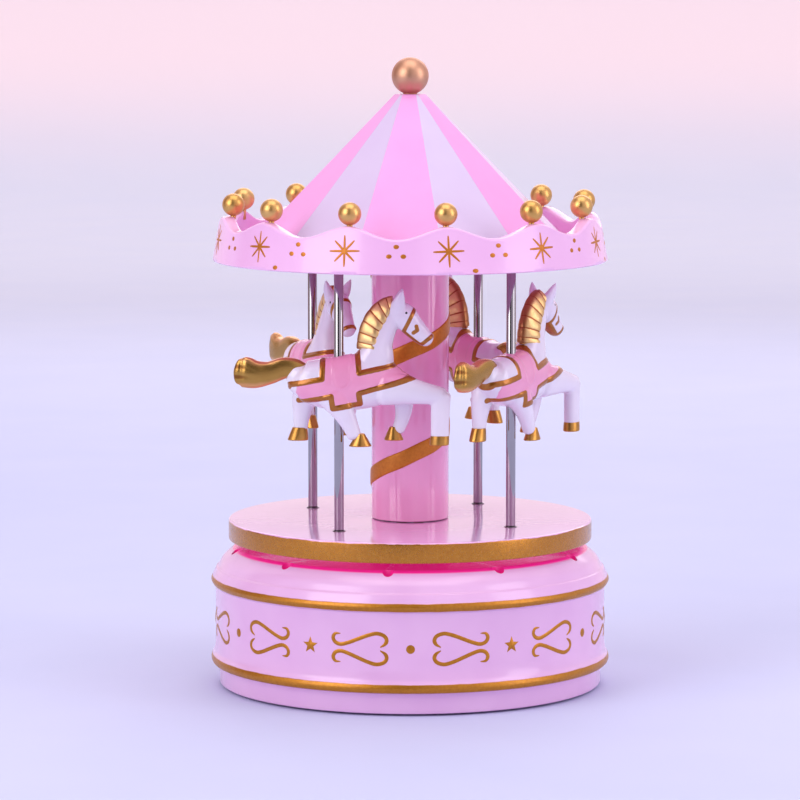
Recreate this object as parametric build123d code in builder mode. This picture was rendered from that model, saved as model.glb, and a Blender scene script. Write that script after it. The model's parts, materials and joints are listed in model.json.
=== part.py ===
from build123d import *
import os
from math import atan2, cos, degrees, hypot, pi, radians, sin

# Wind-up carousel music box: four horses under a canopy on a turntable, turned by the
# spring barrel of an 18-note movement in the base. Millimetres, +Z up, the origin on the
# axis at the level of the feet, the front towards -Y.

# ---- driving dimensions -------------------------------------------------------------
slip = 0.05                  # radial clearance of a running fit
gap = 0.3                    # air between pieces that pass each other

base_radius = 56.0           # wall of the base housing
base_height = 40.0           # top of the domed base
base_wall = 2.2
bead_out = 1.4               # how far the painted beads stand out of the wall
skirt_in = 1.1               # how far the foot of the base is set back
housing_low = 0.6            # the housing ends just above the table
sound_hole_radius = 1.6
sound_hole_count = 10
sound_hole_turn = -133.0     # plan angle of the first sound hole
boss_circle = 46.0           # screw bosses that hold the bottom cover
boss_radius = 3.2

cover_low = 1.4
cover_thick = 2.0
foot_radius = 5.0
foot_circle = 36.0
foot_sink = 0.6
well_radius = 20.0           # recess for the winding key
well_wall = 2.0
well_top = 12.4

plate_thick = 2.0            # bedplate of the movement
plate_left = -15.0
plate_right = 41.0
plate_front = -27.0
plate_back = 26.0
post_radius = 3.0
post_inset = 3.8             # middle of a post from the bedplate's long edges

arbor_radius = 2.2
key_span = 25.0
key_thick = 1.8
key_low = 1.6
key_high = 9.6
key_hub_radius = 3.4
ratchet_teeth = 16
ratchet_radius = 5.0
ratchet_thick = 1.0

barrel_radius = 10.6
barrel_wall = 1.0
barrel_height = 6.0
barrel_lift = 1.6            # barrel above the bedplate
crown_teeth = 40
crown_width = 2.0            # radial length of a crown tooth
shaft_radius = 2.0

pinion_teeth = 20
tooth_up = 0.38              # tooth height outside the pitch line
tooth_down = 0.6             # tooth depth inside it
tooth_root = 0.56
tooth_tip = 0.3
drum_radius = 6.5            # the pinned cylinder
drum_start = barrel_radius + 4.4
drum_length = 16.0
pin_radius = 0.18
pin_out = 0.4
notes = 18
wheel_module = 0.4
wheel_teeth = 40
second_teeth = 10
worm_wheel_teeth = 24
worm_pitch_radius = 1.5
worm_core = 1.1
worm_x = drum_start + drum_length + 4.4
arm_thick = 1.2

turntable_radius = 52.2
turntable_thick = 5.7
turntable_gap = 2.2          # air between base and turntable
turntable_skin = 2.5
hub_radius = 11.0

column_radius = 11.1
column_wall = 1.8
ribbon_pitch = 30.0
ribbon_width = 5.0
ribbon_out = 0.35
ribbon_at_front = 67.1       # height of the ribbon's middle where it faces -Y

pole_radius = 1.35
pole_circle = 34.75
pole_turn = -125.2           # plan angle of the first pole
ferrule_wall = 0.5
ferrule_rise = 0.6
headings = [0.0, 57.0, 130.0, -64.0]   # plan angle each horse faces, in pole order

ceiling_low = 122.8
ceiling_thick = 1.5
skirt_low = 122.3            # lower edge of the canopy skirt
skirt_radius = 56.5
skirt_top_radius = 54.3
skirt_high = 135.3
skirt_valley = 131.8
skirt_wall = 3.8
flange_radius = 34.0         # inner edge of the skirt's flange
flange_thick = 1.5
canopy_sides = 12
canopy_turn = 10.9           # plan angle of the first ridge and ball
cone_top = 169.5
cone_top_radius = 4.4
panel_top_half = 26.0          # half angle that a pink panel spans at the top of the cone
cone_slope = 1.013           # rise over run along a ridge
cone_wall = 1.6
ball_radius = 3.2
ball_circle = 51.0
ball_height = 138.6
finial_radius = 5.3
finial_height = 174.7
stub_radius = 0.7

# ---- heights and places that follow ------------------------------------------------
cover_high = cover_low + cover_thick
plate_low = well_top
plate_high = plate_low + plate_thick
barrel_low = plate_high + barrel_lift
barrel_high = barrel_low + barrel_height
crown_mean = barrel_radius - crown_width / 2
crown_pitch_height = barrel_high + tooth_down
pinion_pitch = crown_mean * pinion_teeth / crown_teeth
drum_axis = crown_pitch_height + pinion_pitch
wheel_pitch = wheel_module * wheel_teeth / 2
second_pitch = wheel_module * second_teeth / 2
worm_wheel_pitch = wheel_module * worm_wheel_teeth / 2
wheel_x = drum_start + drum_length + 0.6
second_drop = 6.0
second_y = (((wheel_pitch + second_pitch) ** 2) - second_drop ** 2) ** 0.5
second_z = drum_axis - second_drop
worm_y = second_y + worm_wheel_pitch + worm_pitch_radius
worm_lead = pi * wheel_module
table_low = base_height + turntable_gap
table_high = table_low + turntable_thick
pole_low = table_high - 3.4
pole_high = ceiling_low + 4.0
ceiling_high = ceiling_low + ceiling_thick
flange_high = ceiling_high + flange_thick
movement_posts = [(plate_right - 5, plate_front + post_inset),
                  (plate_right - 17, plate_back - post_inset),
                  (plate_left + 4, plate_front + post_inset),
                  (plate_left + 4, plate_back - post_inset)]
pole_points = [(pole_circle * cos(radians(pole_turn + 90 * k)),
                pole_circle * sin(radians(pole_turn + 90 * k))) for k in range(4)]


# ---- helpers used inside a BuildPart ------------------------------------------------
def post(radius, low, high, at=(0, 0), mode=Mode.ADD):
    """A round post, or a hole, from height low to height high."""
    with Locations((at[0], at[1], (low + high) / 2)):
        Cylinder(radius, high - low, mode=mode)


def rod(radius, start, end, y, z, mode=Mode.ADD):
    """A round bar along X."""
    with Locations(Location(((start + end) / 2, y, z), (0, 90, 0))):
        Cylinder(radius, end - start, mode=mode)


def block(x, y, z, mode=Mode.ADD):
    """A box between two values on each axis."""
    with Locations(((x[0] + x[1]) / 2, (y[0] + y[1]) / 2, (z[0] + z[1]) / 2)):
        Box(x[1] - x[0], y[1] - y[0], z[1] - z[0], mode=mode)


def toothed(teeth, pitch, turn, width=tooth_root, tip=tooth_tip):
    """Outline of a gear with straight-sided teeth, the first at angle turn."""
    Circle(pitch - tooth_down)
    with PolarLocations(0, teeth, start_angle=turn):
        Polygon((pitch - tooth_down - 0.2, -width / 2), (pitch + tooth_up, -tip / 2),
                (pitch + tooth_up, tip / 2), (pitch - tooth_down - 0.2, width / 2),
                align=None)


def limb(stations):
    """Loft through ellipses; a station is (x, y, z, half width across Y, half depth)."""
    points = [Vector(*s[:3]) for s in stations]
    sections = []
    for i, s in enumerate(stations):
        along = points[min(i + 1, len(points) - 1)] - points[max(i - 1, 0)]
        with BuildSketch(Plane(origin=points[i], x_dir=(0, 1, 0), z_dir=along)) as section:
            Ellipse(s[3], s[4])
        sections.append(section.sketch)
    loft(sections)


def screw(radius, head_radius, head_low, head_high, end, at):
    """A screw along Z: a head between two heights and a shank that ends at end."""
    post(head_radius, head_low, head_high, at)
    low, high = (end, head_low) if end < head_low else (head_high, end)
    post(radius, low, high, at)


def save(part, name):
    """Labels a finished piece and writes it to its STEP file."""
    part.label = name
    export_step(part, f"parts/{name}.step")


os.makedirs("parts", exist_ok=True)

# ---- base ---------------------------------------------------------------------------
foot_wall = base_radius - skirt_in
bead_radius = base_radius + bead_out
dome_high = base_height
with BuildPart() as base_housing:
    with BuildSketch(Plane.XZ):
        with BuildLine():
            Polyline((shaft_radius + 2.0, dome_high), (base_radius - 6.2, dome_high),
                     (base_radius - 5.4, dome_high - 0.4), (base_radius - 4.1, dome_high - 1.5),
                     (base_radius - 2.1, dome_high - 3.25), (base_radius - 0.5, dome_high - 5.7),
                     (base_radius + 0.7, dome_high - 8.1))
            ThreePointArc((base_radius + 0.7, dome_high - 8.1), (bead_radius, dome_high - 9.4),
                          (base_radius + 0.6, dome_high - 10.6))
            Polyline((base_radius + 0.6, dome_high - 10.6), (base_radius, dome_high - 11.0),
                     (base_radius, 13.0), (base_radius + 0.5, 9.6), (base_radius + 1.0, 9.1))
            ThreePointArc((base_radius + 1.0, 9.1), (bead_radius, 7.9), (base_radius + 1.0, 6.7))
            Polyline((base_radius + 1.0, 6.7), (foot_wall, 6.7), (foot_wall, housing_low),
                     (foot_wall - base_wall, housing_low), (foot_wall - base_wall, 11.0),
                     (base_radius - base_wall, 13.0), (base_radius - base_wall, dome_high - 9.0),
                     (base_radius - 5.6, dome_high - 5.0), (base_radius - 8.0, dome_high - base_wall),
                     (shaft_radius + 2.0, dome_high - base_wall), (shaft_radius + 2.0, dome_high))
        make_face()
    revolve(axis=Axis.Z)
    with BuildSketch(Plane.XY.offset(cover_high)):
        with PolarLocations(boss_circle, 4, start_angle=45):
            Circle(boss_radius)
    extrude(amount=dome_high - base_wall / 2 - cover_high)
    with PolarLocations(base_radius - 5.6, sound_hole_count, start_angle=sound_hole_turn):
        with Locations((0, 0, dome_high)):
            Cylinder(sound_hole_radius, 12, mode=Mode.SUBTRACT)
    with PolarLocations(boss_circle, 4, start_angle=45):
        with Locations((0, 0, cover_high + 5)):
            Cylinder(1.2, 10, mode=Mode.SUBTRACT)
save(base_housing.part, "base_housing")

with BuildPart() as shaft_bush:
    post(shaft_radius + 2.0, base_height - base_wall, base_height)
    post(shaft_radius + 3.2, base_height - base_wall - 1.0, base_height - base_wall)
    post(shaft_radius + slip, base_height - 8, base_height + 2, mode=Mode.SUBTRACT)
save(shaft_bush.part, "shaft_bush")

with BuildPart() as thrust_washer:
    post(shaft_radius + 4.5, base_height, table_low - 1.1 - slip)
    post(shaft_radius + gap, base_height - 1, table_low, mode=Mode.SUBTRACT)
save(thrust_washer.part, "thrust_washer")

with BuildPart() as bottom_cover:
    post(foot_wall - base_wall - 0.2, cover_low, cover_high)
    post(well_radius + well_wall, cover_low, well_top)
    post(well_radius, cover_low, well_top - well_wall, mode=Mode.SUBTRACT)
    post(arbor_radius + 1.0, cover_low, well_top, mode=Mode.SUBTRACT)
    for spot in movement_posts:
        post(post_radius, cover_high, plate_low, spot)
        post(1.0, plate_low - 6, plate_low, spot, mode=Mode.SUBTRACT)
    with PolarLocations(boss_circle, 4, start_angle=45):
        with Locations((0, 0, cover_low + cover_thick / 2)):
            Cylinder(1.4, cover_thick, mode=Mode.SUBTRACT)
    with PolarLocations(foot_circle, 4):
        with Locations((0, 0, cover_low + foot_sink / 2)):
            Cylinder(foot_radius, foot_sink, mode=Mode.SUBTRACT)
save(bottom_cover.part, "bottom_cover")

with BuildPart() as rubber_feet:
    with PolarLocations(foot_circle, 4):
        with Locations((0, 0, (cover_low + foot_sink) / 2)):
            Cylinder(foot_radius, cover_low + foot_sink)
    chamfer(rubber_feet.edges().group_by(Axis.Z)[0], 0.4)
save(rubber_feet.part, "rubber_feet")

with BuildPart() as cover_screws:
    for k in range(4):
        turn = radians(45 + 90 * k)
        spot = (boss_circle * cos(turn), boss_circle * sin(turn))
        screw(1.2, 2.6, cover_low - 1.0, cover_low, cover_high + 8, spot)
save(cover_screws.part, "cover_screws")

# ---- movement: fixed pieces ---------------------------------------------------------
comb_low = drum_axis - 0.4
comb_tip = -(drum_radius + pin_out + 0.15)
comb_front = plate_front + 3
with BuildPart() as bedplate:
    block((plate_left, plate_right), (plate_front, plate_back), (plate_low, plate_high))
    fillet(bedplate.edges().filter_by(Axis.Z), 3)
    post(arbor_radius + slip, plate_low, plate_high, mode=Mode.SUBTRACT)
    for spot in movement_posts:
        post(1.2, plate_low, plate_high, spot, mode=Mode.SUBTRACT)
save(bedplate.part, "bedplate")

with BuildPart() as movement_screws:
    for spot in movement_posts:
        screw(1.0, 2.0, plate_high, plate_high + 1.2, plate_low - 5, spot)
save(movement_screws.part, "movement_screws")

comb_screw_spots = [(drum_start + drum_length * f, comb_front + 3.5) for f in (0.2, 0.8)]
with BuildPart() as comb_base:
    block((drum_start, drum_start + drum_length), (comb_front, comb_front + 7),
          (plate_high, comb_low))
    for spot in comb_screw_spots:
        post(0.8, comb_low - 5, comb_low, spot, mode=Mode.SUBTRACT)
save(comb_base.part, "comb_base")

with BuildPart() as comb:
    block((drum_start, drum_start + drum_length), (comb_front, comb_front + 7.5),
          (comb_low, comb_low + 1.4))
    block((drum_start, drum_start + drum_length), (comb_front + 7, comb_tip),
          (comb_low + 0.1, comb_low + 0.7))
    note_step = drum_length / notes
    for k in range(1, notes):
        cut = drum_start + note_step * k
        block((cut - 0.12, cut + 0.12), (comb_front + 8, comb_tip), (comb_low, comb_low + 1.4),
              mode=Mode.SUBTRACT)
    for spot in comb_screw_spots:
        post(1.0, comb_low, comb_low + 1.4, spot, mode=Mode.SUBTRACT)
save(comb.part, "comb")

with BuildPart() as comb_screws:
    for spot in comb_screw_spots:
        screw(0.8, 1.7, comb_low + 1.4, comb_low + 2.4, comb_low - 4.5, spot)
save(comb_screws.part, "comb_screws")

pivot_radius = 0.8
inner_arm_x = barrel_radius + 1.3
outer_arm_x = wheel_x + 2.0
for name, x in (("inner_bracket", inner_arm_x), ("outer_bracket", outer_arm_x)):
    with BuildPart() as bracket:
        block((x, x + arm_thick), (-3.0, 2.2), (plate_high, drum_axis + 2.5))
        block((x, x + arm_thick), (-9.0, 2.2), (plate_high, plate_high + 2.5))
        rod(pivot_radius + slip, x, x + arm_thick, 0, drum_axis, mode=Mode.SUBTRACT)
    save(bracket.part, name)

cheek_left = wheel_x - 2.6
cheek_right = worm_x + 2.4
worm_low = plate_high + 1.0
worm_high = drum_axis + 6.0
with BuildPart() as governor_frame:
    block((cheek_left, cheek_right + arm_thick), (second_y - 0.8, worm_y + 3.0),
          (plate_high, plate_high + 1.0))
    for x in (cheek_left, cheek_right):
        block((x, x + arm_thick), (second_y - 0.8, second_y + 1.6), (plate_high, second_z + 1.6))
        rod(pivot_radius + slip, x, x + arm_thick, second_y, second_z, mode=Mode.SUBTRACT)
    block((cheek_left, cheek_left + arm_thick), (worm_y - 1.5, worm_y + 3.0),
          (plate_high, worm_high + 1.2))
    block((cheek_left, worm_x + 1.5), (worm_y - 1.5, worm_y + 1.5), (worm_high, worm_high + 1.2))
    post(0.5 + slip, plate_high + 0.2, worm_high + 0.8, (worm_x, worm_y), mode=Mode.SUBTRACT)
save(governor_frame.part, "governor_frame")

# The click rides on the tips of the ratchet teeth.
click_low = plate_high + 0.3
with BuildPart() as click:
    with BuildSketch(Plane.XY.offset(click_low)):
        with BuildLine():
            Polyline((-ratchet_radius - 0.1, 0.5), (-11.0, 3.6), (-12.6, 2.4), (-12.4, 0.2),
                     (-ratchet_radius - 0.1, -0.3), close=True)
        make_face()
    extrude(amount=ratchet_thick)
    post(0.8, plate_high, click_low + ratchet_thick + 0.2, (-11.2, 1.9))
save(click.part, "click")

# ---- winding key, its arbor and ratchet ------------------------------------------------
with BuildPart() as winding_arbor:
    post(arbor_radius, key_low + 3.0, barrel_high - barrel_wall - 0.2)
save(winding_arbor.part, "winding_arbor")

with BuildPart() as ratchet_wheel:
    with BuildSketch(Plane.XY.offset(click_low)):
        Circle(ratchet_radius - 0.8)
        with PolarLocations(0, ratchet_teeth):
            Polygon((ratchet_radius - 1.2, -0.75), (ratchet_radius, 0.55),
                    (ratchet_radius - 1.2, 0.75), align=None)
    extrude(amount=ratchet_thick)
    post(arbor_radius, click_low, click_low + ratchet_thick, mode=Mode.SUBTRACT)
save(ratchet_wheel.part, "ratchet_wheel")

with BuildPart() as winding_key:
    with BuildSketch(Plane.XZ):
        with BuildLine():
            wing = key_span / 2
            Polyline((0, key_low + 1.2), (key_hub_radius, key_low + 1.2))
            Spline((key_hub_radius, key_low + 1.2), (wing - 4, key_low), (wing, key_low + 3.2),
                   (wing - 3.5, key_high - 1.4), (key_hub_radius, key_high - 3.0))
            Polyline((key_hub_radius, key_high - 3.0), (0, key_high - 3.0), (0, key_low + 1.2))
        make_face()
        mirror(about=Plane.YZ)
        with Locations((wing - 4.8, key_low + 3.4), (4.8 - wing, key_low + 3.4)):
            Circle(1.6, mode=Mode.SUBTRACT)
    extrude(amount=key_thick / 2, both=True)
    post(key_hub_radius, key_low + 1.8, key_high)
    post(arbor_radius, key_low + 3.0, key_high + 1, mode=Mode.SUBTRACT)
save(winding_key.part, "winding_key")

# ---- spring barrel and drive shaft ------------------------------------------------------
with BuildPart() as barrel:
    post(barrel_radius, barrel_low, barrel_high)
    post(barrel_radius - barrel_wall, barrel_low, barrel_high - barrel_wall, mode=Mode.SUBTRACT)
    post(shaft_radius, barrel_low, barrel_high, mode=Mode.SUBTRACT)
    with BuildSketch(Plane.XZ):
        with Locations((crown_mean, barrel_high + (tooth_down + tooth_up) / 2 - 0.1)):
            Rectangle(crown_width, tooth_down + tooth_up + 0.2)
    tooth = extrude(amount=tooth_tip * 0.75, both=True, mode=Mode.PRIVATE)
    for k in range(crown_teeth):
        add(tooth.rotate(Axis.Z, 360 * k / crown_teeth))
save(barrel.part, "barrel")

with BuildPart() as barrel_cover:
    post(barrel_radius - barrel_wall, barrel_low, barrel_low + 0.8)
    post(arbor_radius + gap, barrel_low, barrel_low + 0.8, mode=Mode.SUBTRACT)
save(barrel_cover.part, "barrel_cover")

# Five turns of spring, as flat strip wound on itself.
spring_turns = 5
spring_start = arbor_radius + 1.0
spring_step = (barrel_radius - barrel_wall - 0.5 - spring_start) / spring_turns
with BuildPart() as mainspring:
    with BuildSketch(Plane.XY.offset(barrel_low + 1.1)):
        with BuildLine():
            inner = [(spring_start + spring_step * t / 12) for t in range(12 * spring_turns + 1)]
            low_side = [(r * cos(pi * t / 6), r * sin(pi * t / 6)) for t, r in enumerate(inner)]
            high_side = [((r + 0.4) * cos(pi * t / 6), (r + 0.4) * sin(pi * t / 6))
                         for t, r in enumerate(inner)]
            edge = Spline(*low_side)
            back = Spline(*high_side)
            Line(edge @ 0, back @ 0)
            Line(edge @ 1, back @ 1)
        make_face()
    extrude(amount=barrel_height - barrel_wall - 1.4)
save(mainspring.part, "mainspring")

with BuildPart() as drive_shaft:
    post(shaft_radius, barrel_high - barrel_wall, table_high + 3.2)
save(drive_shaft.part, "drive_shaft")

# ---- pinned cylinder ----------------------------------------------------------------------
drum_end = drum_start + drum_length
with BuildPart() as music_cylinder:
    rod(drum_radius, drum_start, drum_end, 0, drum_axis)
    rod(pivot_radius, drum_start, drum_end, 0, drum_axis, mode=Mode.SUBTRACT)
    for k in range(notes):
        x = drum_start + note_step * (k + 0.5)
        for turn in ((k * 137.5) % 360, (k * 137.5 + 95) % 360, (k * 137.5 + 210) % 360):
            spike = Cylinder(pin_radius, pin_out + 0.6, mode=Mode.PRIVATE)
            spike = spike.moved(Location((x, 0, drum_radius + pin_out / 2 - 0.3)))
            add(spike.rotate(Axis.X, turn).moved(Location((0, 0, drum_axis))))
save(music_cylinder.part, "music_cylinder")

with BuildPart() as cylinder_arbor:
    rod(pivot_radius, crown_mean - 1.2, outer_arm_x + arm_thick + 0.6, 0, drum_axis)
save(cylinder_arbor.part, "cylinder_arbor")

with BuildPart() as cylinder_pinion:
    with BuildSketch(Plane.YZ.offset(crown_mean - 0.8)):
        with Locations((0, drum_axis)):
            toothed(pinion_teeth, pinion_pitch, -90 + 180 / pinion_teeth)
            Circle(pivot_radius, mode=Mode.SUBTRACT)
    extrude(amount=1.6)
save(cylinder_pinion.part, "cylinder_pinion")

mesh_turn = degrees(atan2(second_z - drum_axis, second_y))
with BuildPart() as cylinder_wheel:
    with BuildSketch(Plane.YZ.offset(wheel_x)):
        with Locations((0, drum_axis)):
            toothed(wheel_teeth, wheel_pitch, mesh_turn, 0.46, 0.22)
            Circle(pivot_radius, mode=Mode.SUBTRACT)
            with PolarLocations(wheel_pitch * 0.56, 4, start_angle=20):
                Circle(wheel_pitch * 0.2, mode=Mode.SUBTRACT)
    extrude(amount=1.2)
save(cylinder_wheel.part, "cylinder_wheel")

# ---- second arbor: pinion and worm wheel --------------------------------------------------
with BuildPart() as second_pinion:
    with BuildSketch(Plane.YZ.offset(wheel_x - 0.3)):
        with Locations((second_y, second_z)):
            toothed(second_teeth, second_pitch, mesh_turn + 180 + 180 / second_teeth, 0.46, 0.22)
            Circle(pivot_radius, mode=Mode.SUBTRACT)
    extrude(amount=1.8)
save(second_pinion.part, "second_pinion")

with BuildPart() as worm_wheel:
    with BuildSketch(Plane.YZ.offset(worm_x - 0.5)):
        with Locations((second_y, second_z)):
            toothed(worm_wheel_teeth, worm_wheel_pitch, 0, 0.42, 0.2)
            Circle(pivot_radius, mode=Mode.SUBTRACT)
    extrude(amount=1.0)
save(worm_wheel.part, "worm_wheel")

with BuildPart() as second_arbor:
    rod(pivot_radius, cheek_left - 0.4, cheek_right + arm_thick + 0.4, second_y, second_z)
save(second_arbor.part, "second_arbor")

# ---- governor: worm and fly ------------------------------------------------------------
# A gap of the right-handed thread faces the wheel's tooth at rest.
worm_turns = 6
thread_low = second_z - (worm_turns / 2 + 0.25) * worm_lead
with BuildPart() as governor_worm:
    post(worm_core, thread_low - 0.4, thread_low + worm_turns * worm_lead + 0.4, (worm_x, worm_y))
    post(0.5, plate_high + 0.3, worm_high + 0.7, (worm_x, worm_y))
    with BuildLine() as thread_path:
        Helix(worm_lead, worm_lead * worm_turns, worm_pitch_radius,
              center=(worm_x, worm_y, thread_low))
    with BuildSketch(Plane(origin=thread_path.line @ 0, x_dir=(1, 0, 0),
                           z_dir=thread_path.line % 0)):
        Polygon((-0.55, -0.2), (0.3, -0.09), (0.3, 0.09), (-0.55, 0.2), align=None)
    sweep(path=thread_path.line, is_frenet=True)
save(governor_worm.part, "governor_worm")

fly_low = thread_low + worm_turns * worm_lead + 1.0
with BuildPart() as governor_fly:
    post(1.4, fly_low, fly_low + 1.4, (worm_x, worm_y))
    block((worm_x - 3.4, worm_x + 3.4), (worm_y - 0.25, worm_y + 0.25), (fly_low, fly_low + 3.4))
    post(0.5, fly_low - 1, fly_low + 5, (worm_x, worm_y), mode=Mode.SUBTRACT)
save(governor_fly.part, "governor_fly")

# ---- turntable and column ---------------------------------------------------------------
ferrule_radius = pole_radius + slip + ferrule_wall
column_screw_circle = column_radius - column_wall - 1.8
column_screw_spots = [(column_screw_circle * cos(radians(30 + 120 * k)),
                       column_screw_circle * sin(radians(30 + 120 * k))) for k in range(3)]
with BuildPart() as turntable:
    post(turntable_radius, table_low, table_high)
    chamfer(turntable.edges().group_by(Axis.Z)[-1], 0.5)
    chamfer(turntable.edges().group_by(Axis.Z)[0], 0.4)
    post(turntable_radius - 2.2, table_low, table_high - turntable_skin, mode=Mode.SUBTRACT)
    post(hub_radius, table_low - 1.1, table_high)
    for spot in pole_points:
        post(ferrule_radius + 2.0, table_low + 0.3, table_high, spot)
        post(ferrule_radius, pole_low - 0.8, table_high, spot, mode=Mode.SUBTRACT)
    for spot in column_screw_spots:
        post(1.2, table_low - 1.1, table_high, spot, mode=Mode.SUBTRACT)
        post(2.0, table_low - 1.1, table_low + 1.5, spot, mode=Mode.SUBTRACT)
    post(shaft_radius, table_low - 2, table_high, mode=Mode.SUBTRACT)
save(turntable.part, "turntable")

with BuildPart() as shaft_nut:
    with BuildSketch(Plane.XY.offset(table_high)):
        RegularPolygon(shaft_radius * 1.9, 6)
        Circle(shaft_radius, mode=Mode.SUBTRACT)
    extrude(amount=2.4)
save(shaft_nut.part, "shaft_nut")

with BuildPart() as pole_ferrules:
    for spot in pole_points:
        post(ferrule_radius, pole_low - 0.8, table_high + ferrule_rise, spot)
        post(pole_radius + slip, pole_low - slip, table_high + 2, spot, mode=Mode.SUBTRACT)
save(pole_ferrules.part, "pole_ferrules")

spigot_radius = column_radius - 0.8
ribbon_low = ribbon_at_front - 3 * ribbon_pitch / 4 - ribbon_pitch
with BuildPart() as column:
    with BuildLine() as ribbon_path:
        Helix(ribbon_pitch, ribbon_pitch * 3.5, column_radius, center=(0, 0, ribbon_low))
    with BuildSketch(Plane(origin=ribbon_path.line @ 0, x_dir=(1, 0, 0),
                           z_dir=ribbon_path.line % 0)):
        Rectangle(2 * ribbon_out, ribbon_width * cos(atan2(ribbon_pitch, 2 * pi * column_radius)))
    sweep(path=ribbon_path.line, is_frenet=True)
    split(bisect_by=Plane.XY.offset(table_high + 0.6), keep=Keep.TOP)
    split(bisect_by=Plane.XY.offset(ceiling_low - 0.6), keep=Keep.BOTTOM)
    post(column_radius, table_high, ceiling_low)
    post(spigot_radius, ceiling_low, ceiling_high + 1.5)
    post(column_radius - column_wall, table_high, ceiling_high + 2, mode=Mode.SUBTRACT)
    for spot in column_screw_spots:
        post(2.2, table_high, table_high + 7, spot)
        post(1.0, table_high, table_high + 6, spot, mode=Mode.SUBTRACT)
save(column.part, "column")

with BuildPart() as column_screws:
    for spot in column_screw_spots:
        screw(1.0, 1.9, table_low + 0.3, table_low + 1.5, table_high + 5.5, spot)
save(column_screws.part, "column_screws")

# ---- canopy -------------------------------------------------------------------------------
screw_circle = 38.0
socket_radius = pole_radius + 1.8
canopy_screw_spots = [(screw_circle * cos(radians(canopy_turn + 15 + 90 * k)),
                       screw_circle * sin(radians(canopy_turn + 15 + 90 * k))) for k in range(4)]
with BuildPart() as ceiling:
    post(skirt_radius - skirt_wall - 1.5, ceiling_low, ceiling_high)
    for spot in pole_points:
        post(socket_radius, ceiling_high, pole_high + 1.5, spot)
        post(pole_radius + slip, ceiling_low, pole_high + 0.2, spot, mode=Mode.SUBTRACT)
    post(spigot_radius, ceiling_low, ceiling_high, mode=Mode.SUBTRACT)
    for spot in canopy_screw_spots:
        post(1.2, ceiling_low, ceiling_high, spot, mode=Mode.SUBTRACT)
save(ceiling.part, "ceiling")

scallop_chord = 2 * skirt_top_radius * sin(pi / canopy_sides)
scallop_depth = skirt_high - skirt_valley
scallop_radius = (scallop_chord ** 2 / 4 + scallop_depth ** 2) / (2 * scallop_depth)
skirt_middle = (skirt_low + skirt_high) / 2
with BuildPart() as canopy_skirt:
    with BuildSketch(Plane.XZ):
        with BuildLine():
            outside = ThreePointArc((skirt_radius, skirt_low),
                                    ((skirt_radius + skirt_top_radius) / 2 - 0.2, skirt_middle),
                                    (skirt_top_radius, skirt_high))
            Line(outside @ 1, (skirt_top_radius - skirt_wall, skirt_high))
            inside = ThreePointArc((skirt_top_radius - skirt_wall, skirt_high),
                                   ((skirt_radius + skirt_top_radius) / 2 - 0.2 - skirt_wall,
                                    skirt_middle),
                                   (skirt_radius - skirt_wall, skirt_low))
            Line(inside @ 1, outside @ 0)
        make_face()
    revolve(axis=Axis.Z)
    post(skirt_radius - skirt_wall, ceiling_high, flange_high)
    post(flange_radius, ceiling_high, flange_high, mode=Mode.SUBTRACT)
    for k in range(canopy_sides):
        turn = radians(canopy_turn + 180 / canopy_sides + 360 * k / canopy_sides)
        facing = Plane(origin=(40 * cos(turn), 40 * sin(turn), skirt_valley + scallop_radius),
                       x_dir=(-sin(turn), cos(turn), 0), z_dir=(cos(turn), sin(turn), 0))
        with BuildSketch(facing):
            Circle(scallop_radius)
        extrude(amount=30, mode=Mode.SUBTRACT)
    with PolarLocations(ball_circle, canopy_sides, start_angle=canopy_turn):
        with Locations((0, 0, skirt_high - 1.0)):
            Cylinder(stub_radius, 3.0, mode=Mode.SUBTRACT)
    for spot in canopy_screw_spots:
        post(1.2, ceiling_high, flange_high, spot, mode=Mode.SUBTRACT)
    for spot in pole_points:
        post(socket_radius + 0.2, ceiling_high, flange_high, spot, mode=Mode.SUBTRACT)
save(canopy_skirt.part, "canopy_skirt")

cone_low_radius = cone_top_radius + (cone_top - flange_high) / cone_slope


def cone_outline(radius, half):
    """Twelve-sided outline whose six pink sides span half an angle each way."""
    turns = [canopy_turn + 15 + 60 * k + side * half for k in range(6) for side in (-1, 1)]
    Polygon(*[(radius * cos(radians(turn)), radius * sin(radians(turn))) for turn in turns],
            align=None)


with BuildPart() as canopy_cone:
    for height, radius, half in ((flange_high, cone_low_radius, 15.0),
                                 (cone_top, cone_top_radius, panel_top_half)):
        with BuildSketch(Plane.XY.offset(height)):
            cone_outline(radius, half)
    loft()
    inner_top = cone_top - 3.0
    inner_drop = cone_wall * 1.5
    for height, radius, half in ((flange_high, cone_low_radius - inner_drop, 15.0),
                                 (inner_top, cone_top_radius + 3.0 / cone_slope - inner_drop,
                                  panel_top_half)):
        with BuildSketch(Plane.XY.offset(height)):
            cone_outline(radius, half)
    loft(mode=Mode.SUBTRACT)
    for spot in canopy_screw_spots:
        post(2.4, flange_high, flange_high + 5.0, spot)
        post(1.0, flange_high, flange_high + 4.5, spot, mode=Mode.SUBTRACT)
    post(1.5, cone_top - 4, cone_top, mode=Mode.SUBTRACT)
save(canopy_cone.part, "canopy_cone")

with BuildPart() as canopy_screws:
    for spot in canopy_screw_spots:
        screw(1.0, 2.0, ceiling_low - 1.2, ceiling_low, flange_high + 4.0, spot)
save(canopy_screws.part, "canopy_screws")

with BuildPart() as rim_balls:
    with PolarLocations(ball_circle, canopy_sides, start_angle=canopy_turn):
        with Locations((0, 0, ball_height)):
            Sphere(ball_radius)
        with Locations((0, 0, skirt_high)):
            Cylinder(stub_radius, 5.0)
save(rim_balls.part, "rim_balls")

with BuildPart() as finial:
    with Locations((0, 0, finial_height)):
        Sphere(finial_radius)
    post(2.2, cone_top, cone_top + 1.0)
    post(1.5, cone_top - 3.5, cone_top)
save(finial.part, "finial")

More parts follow.
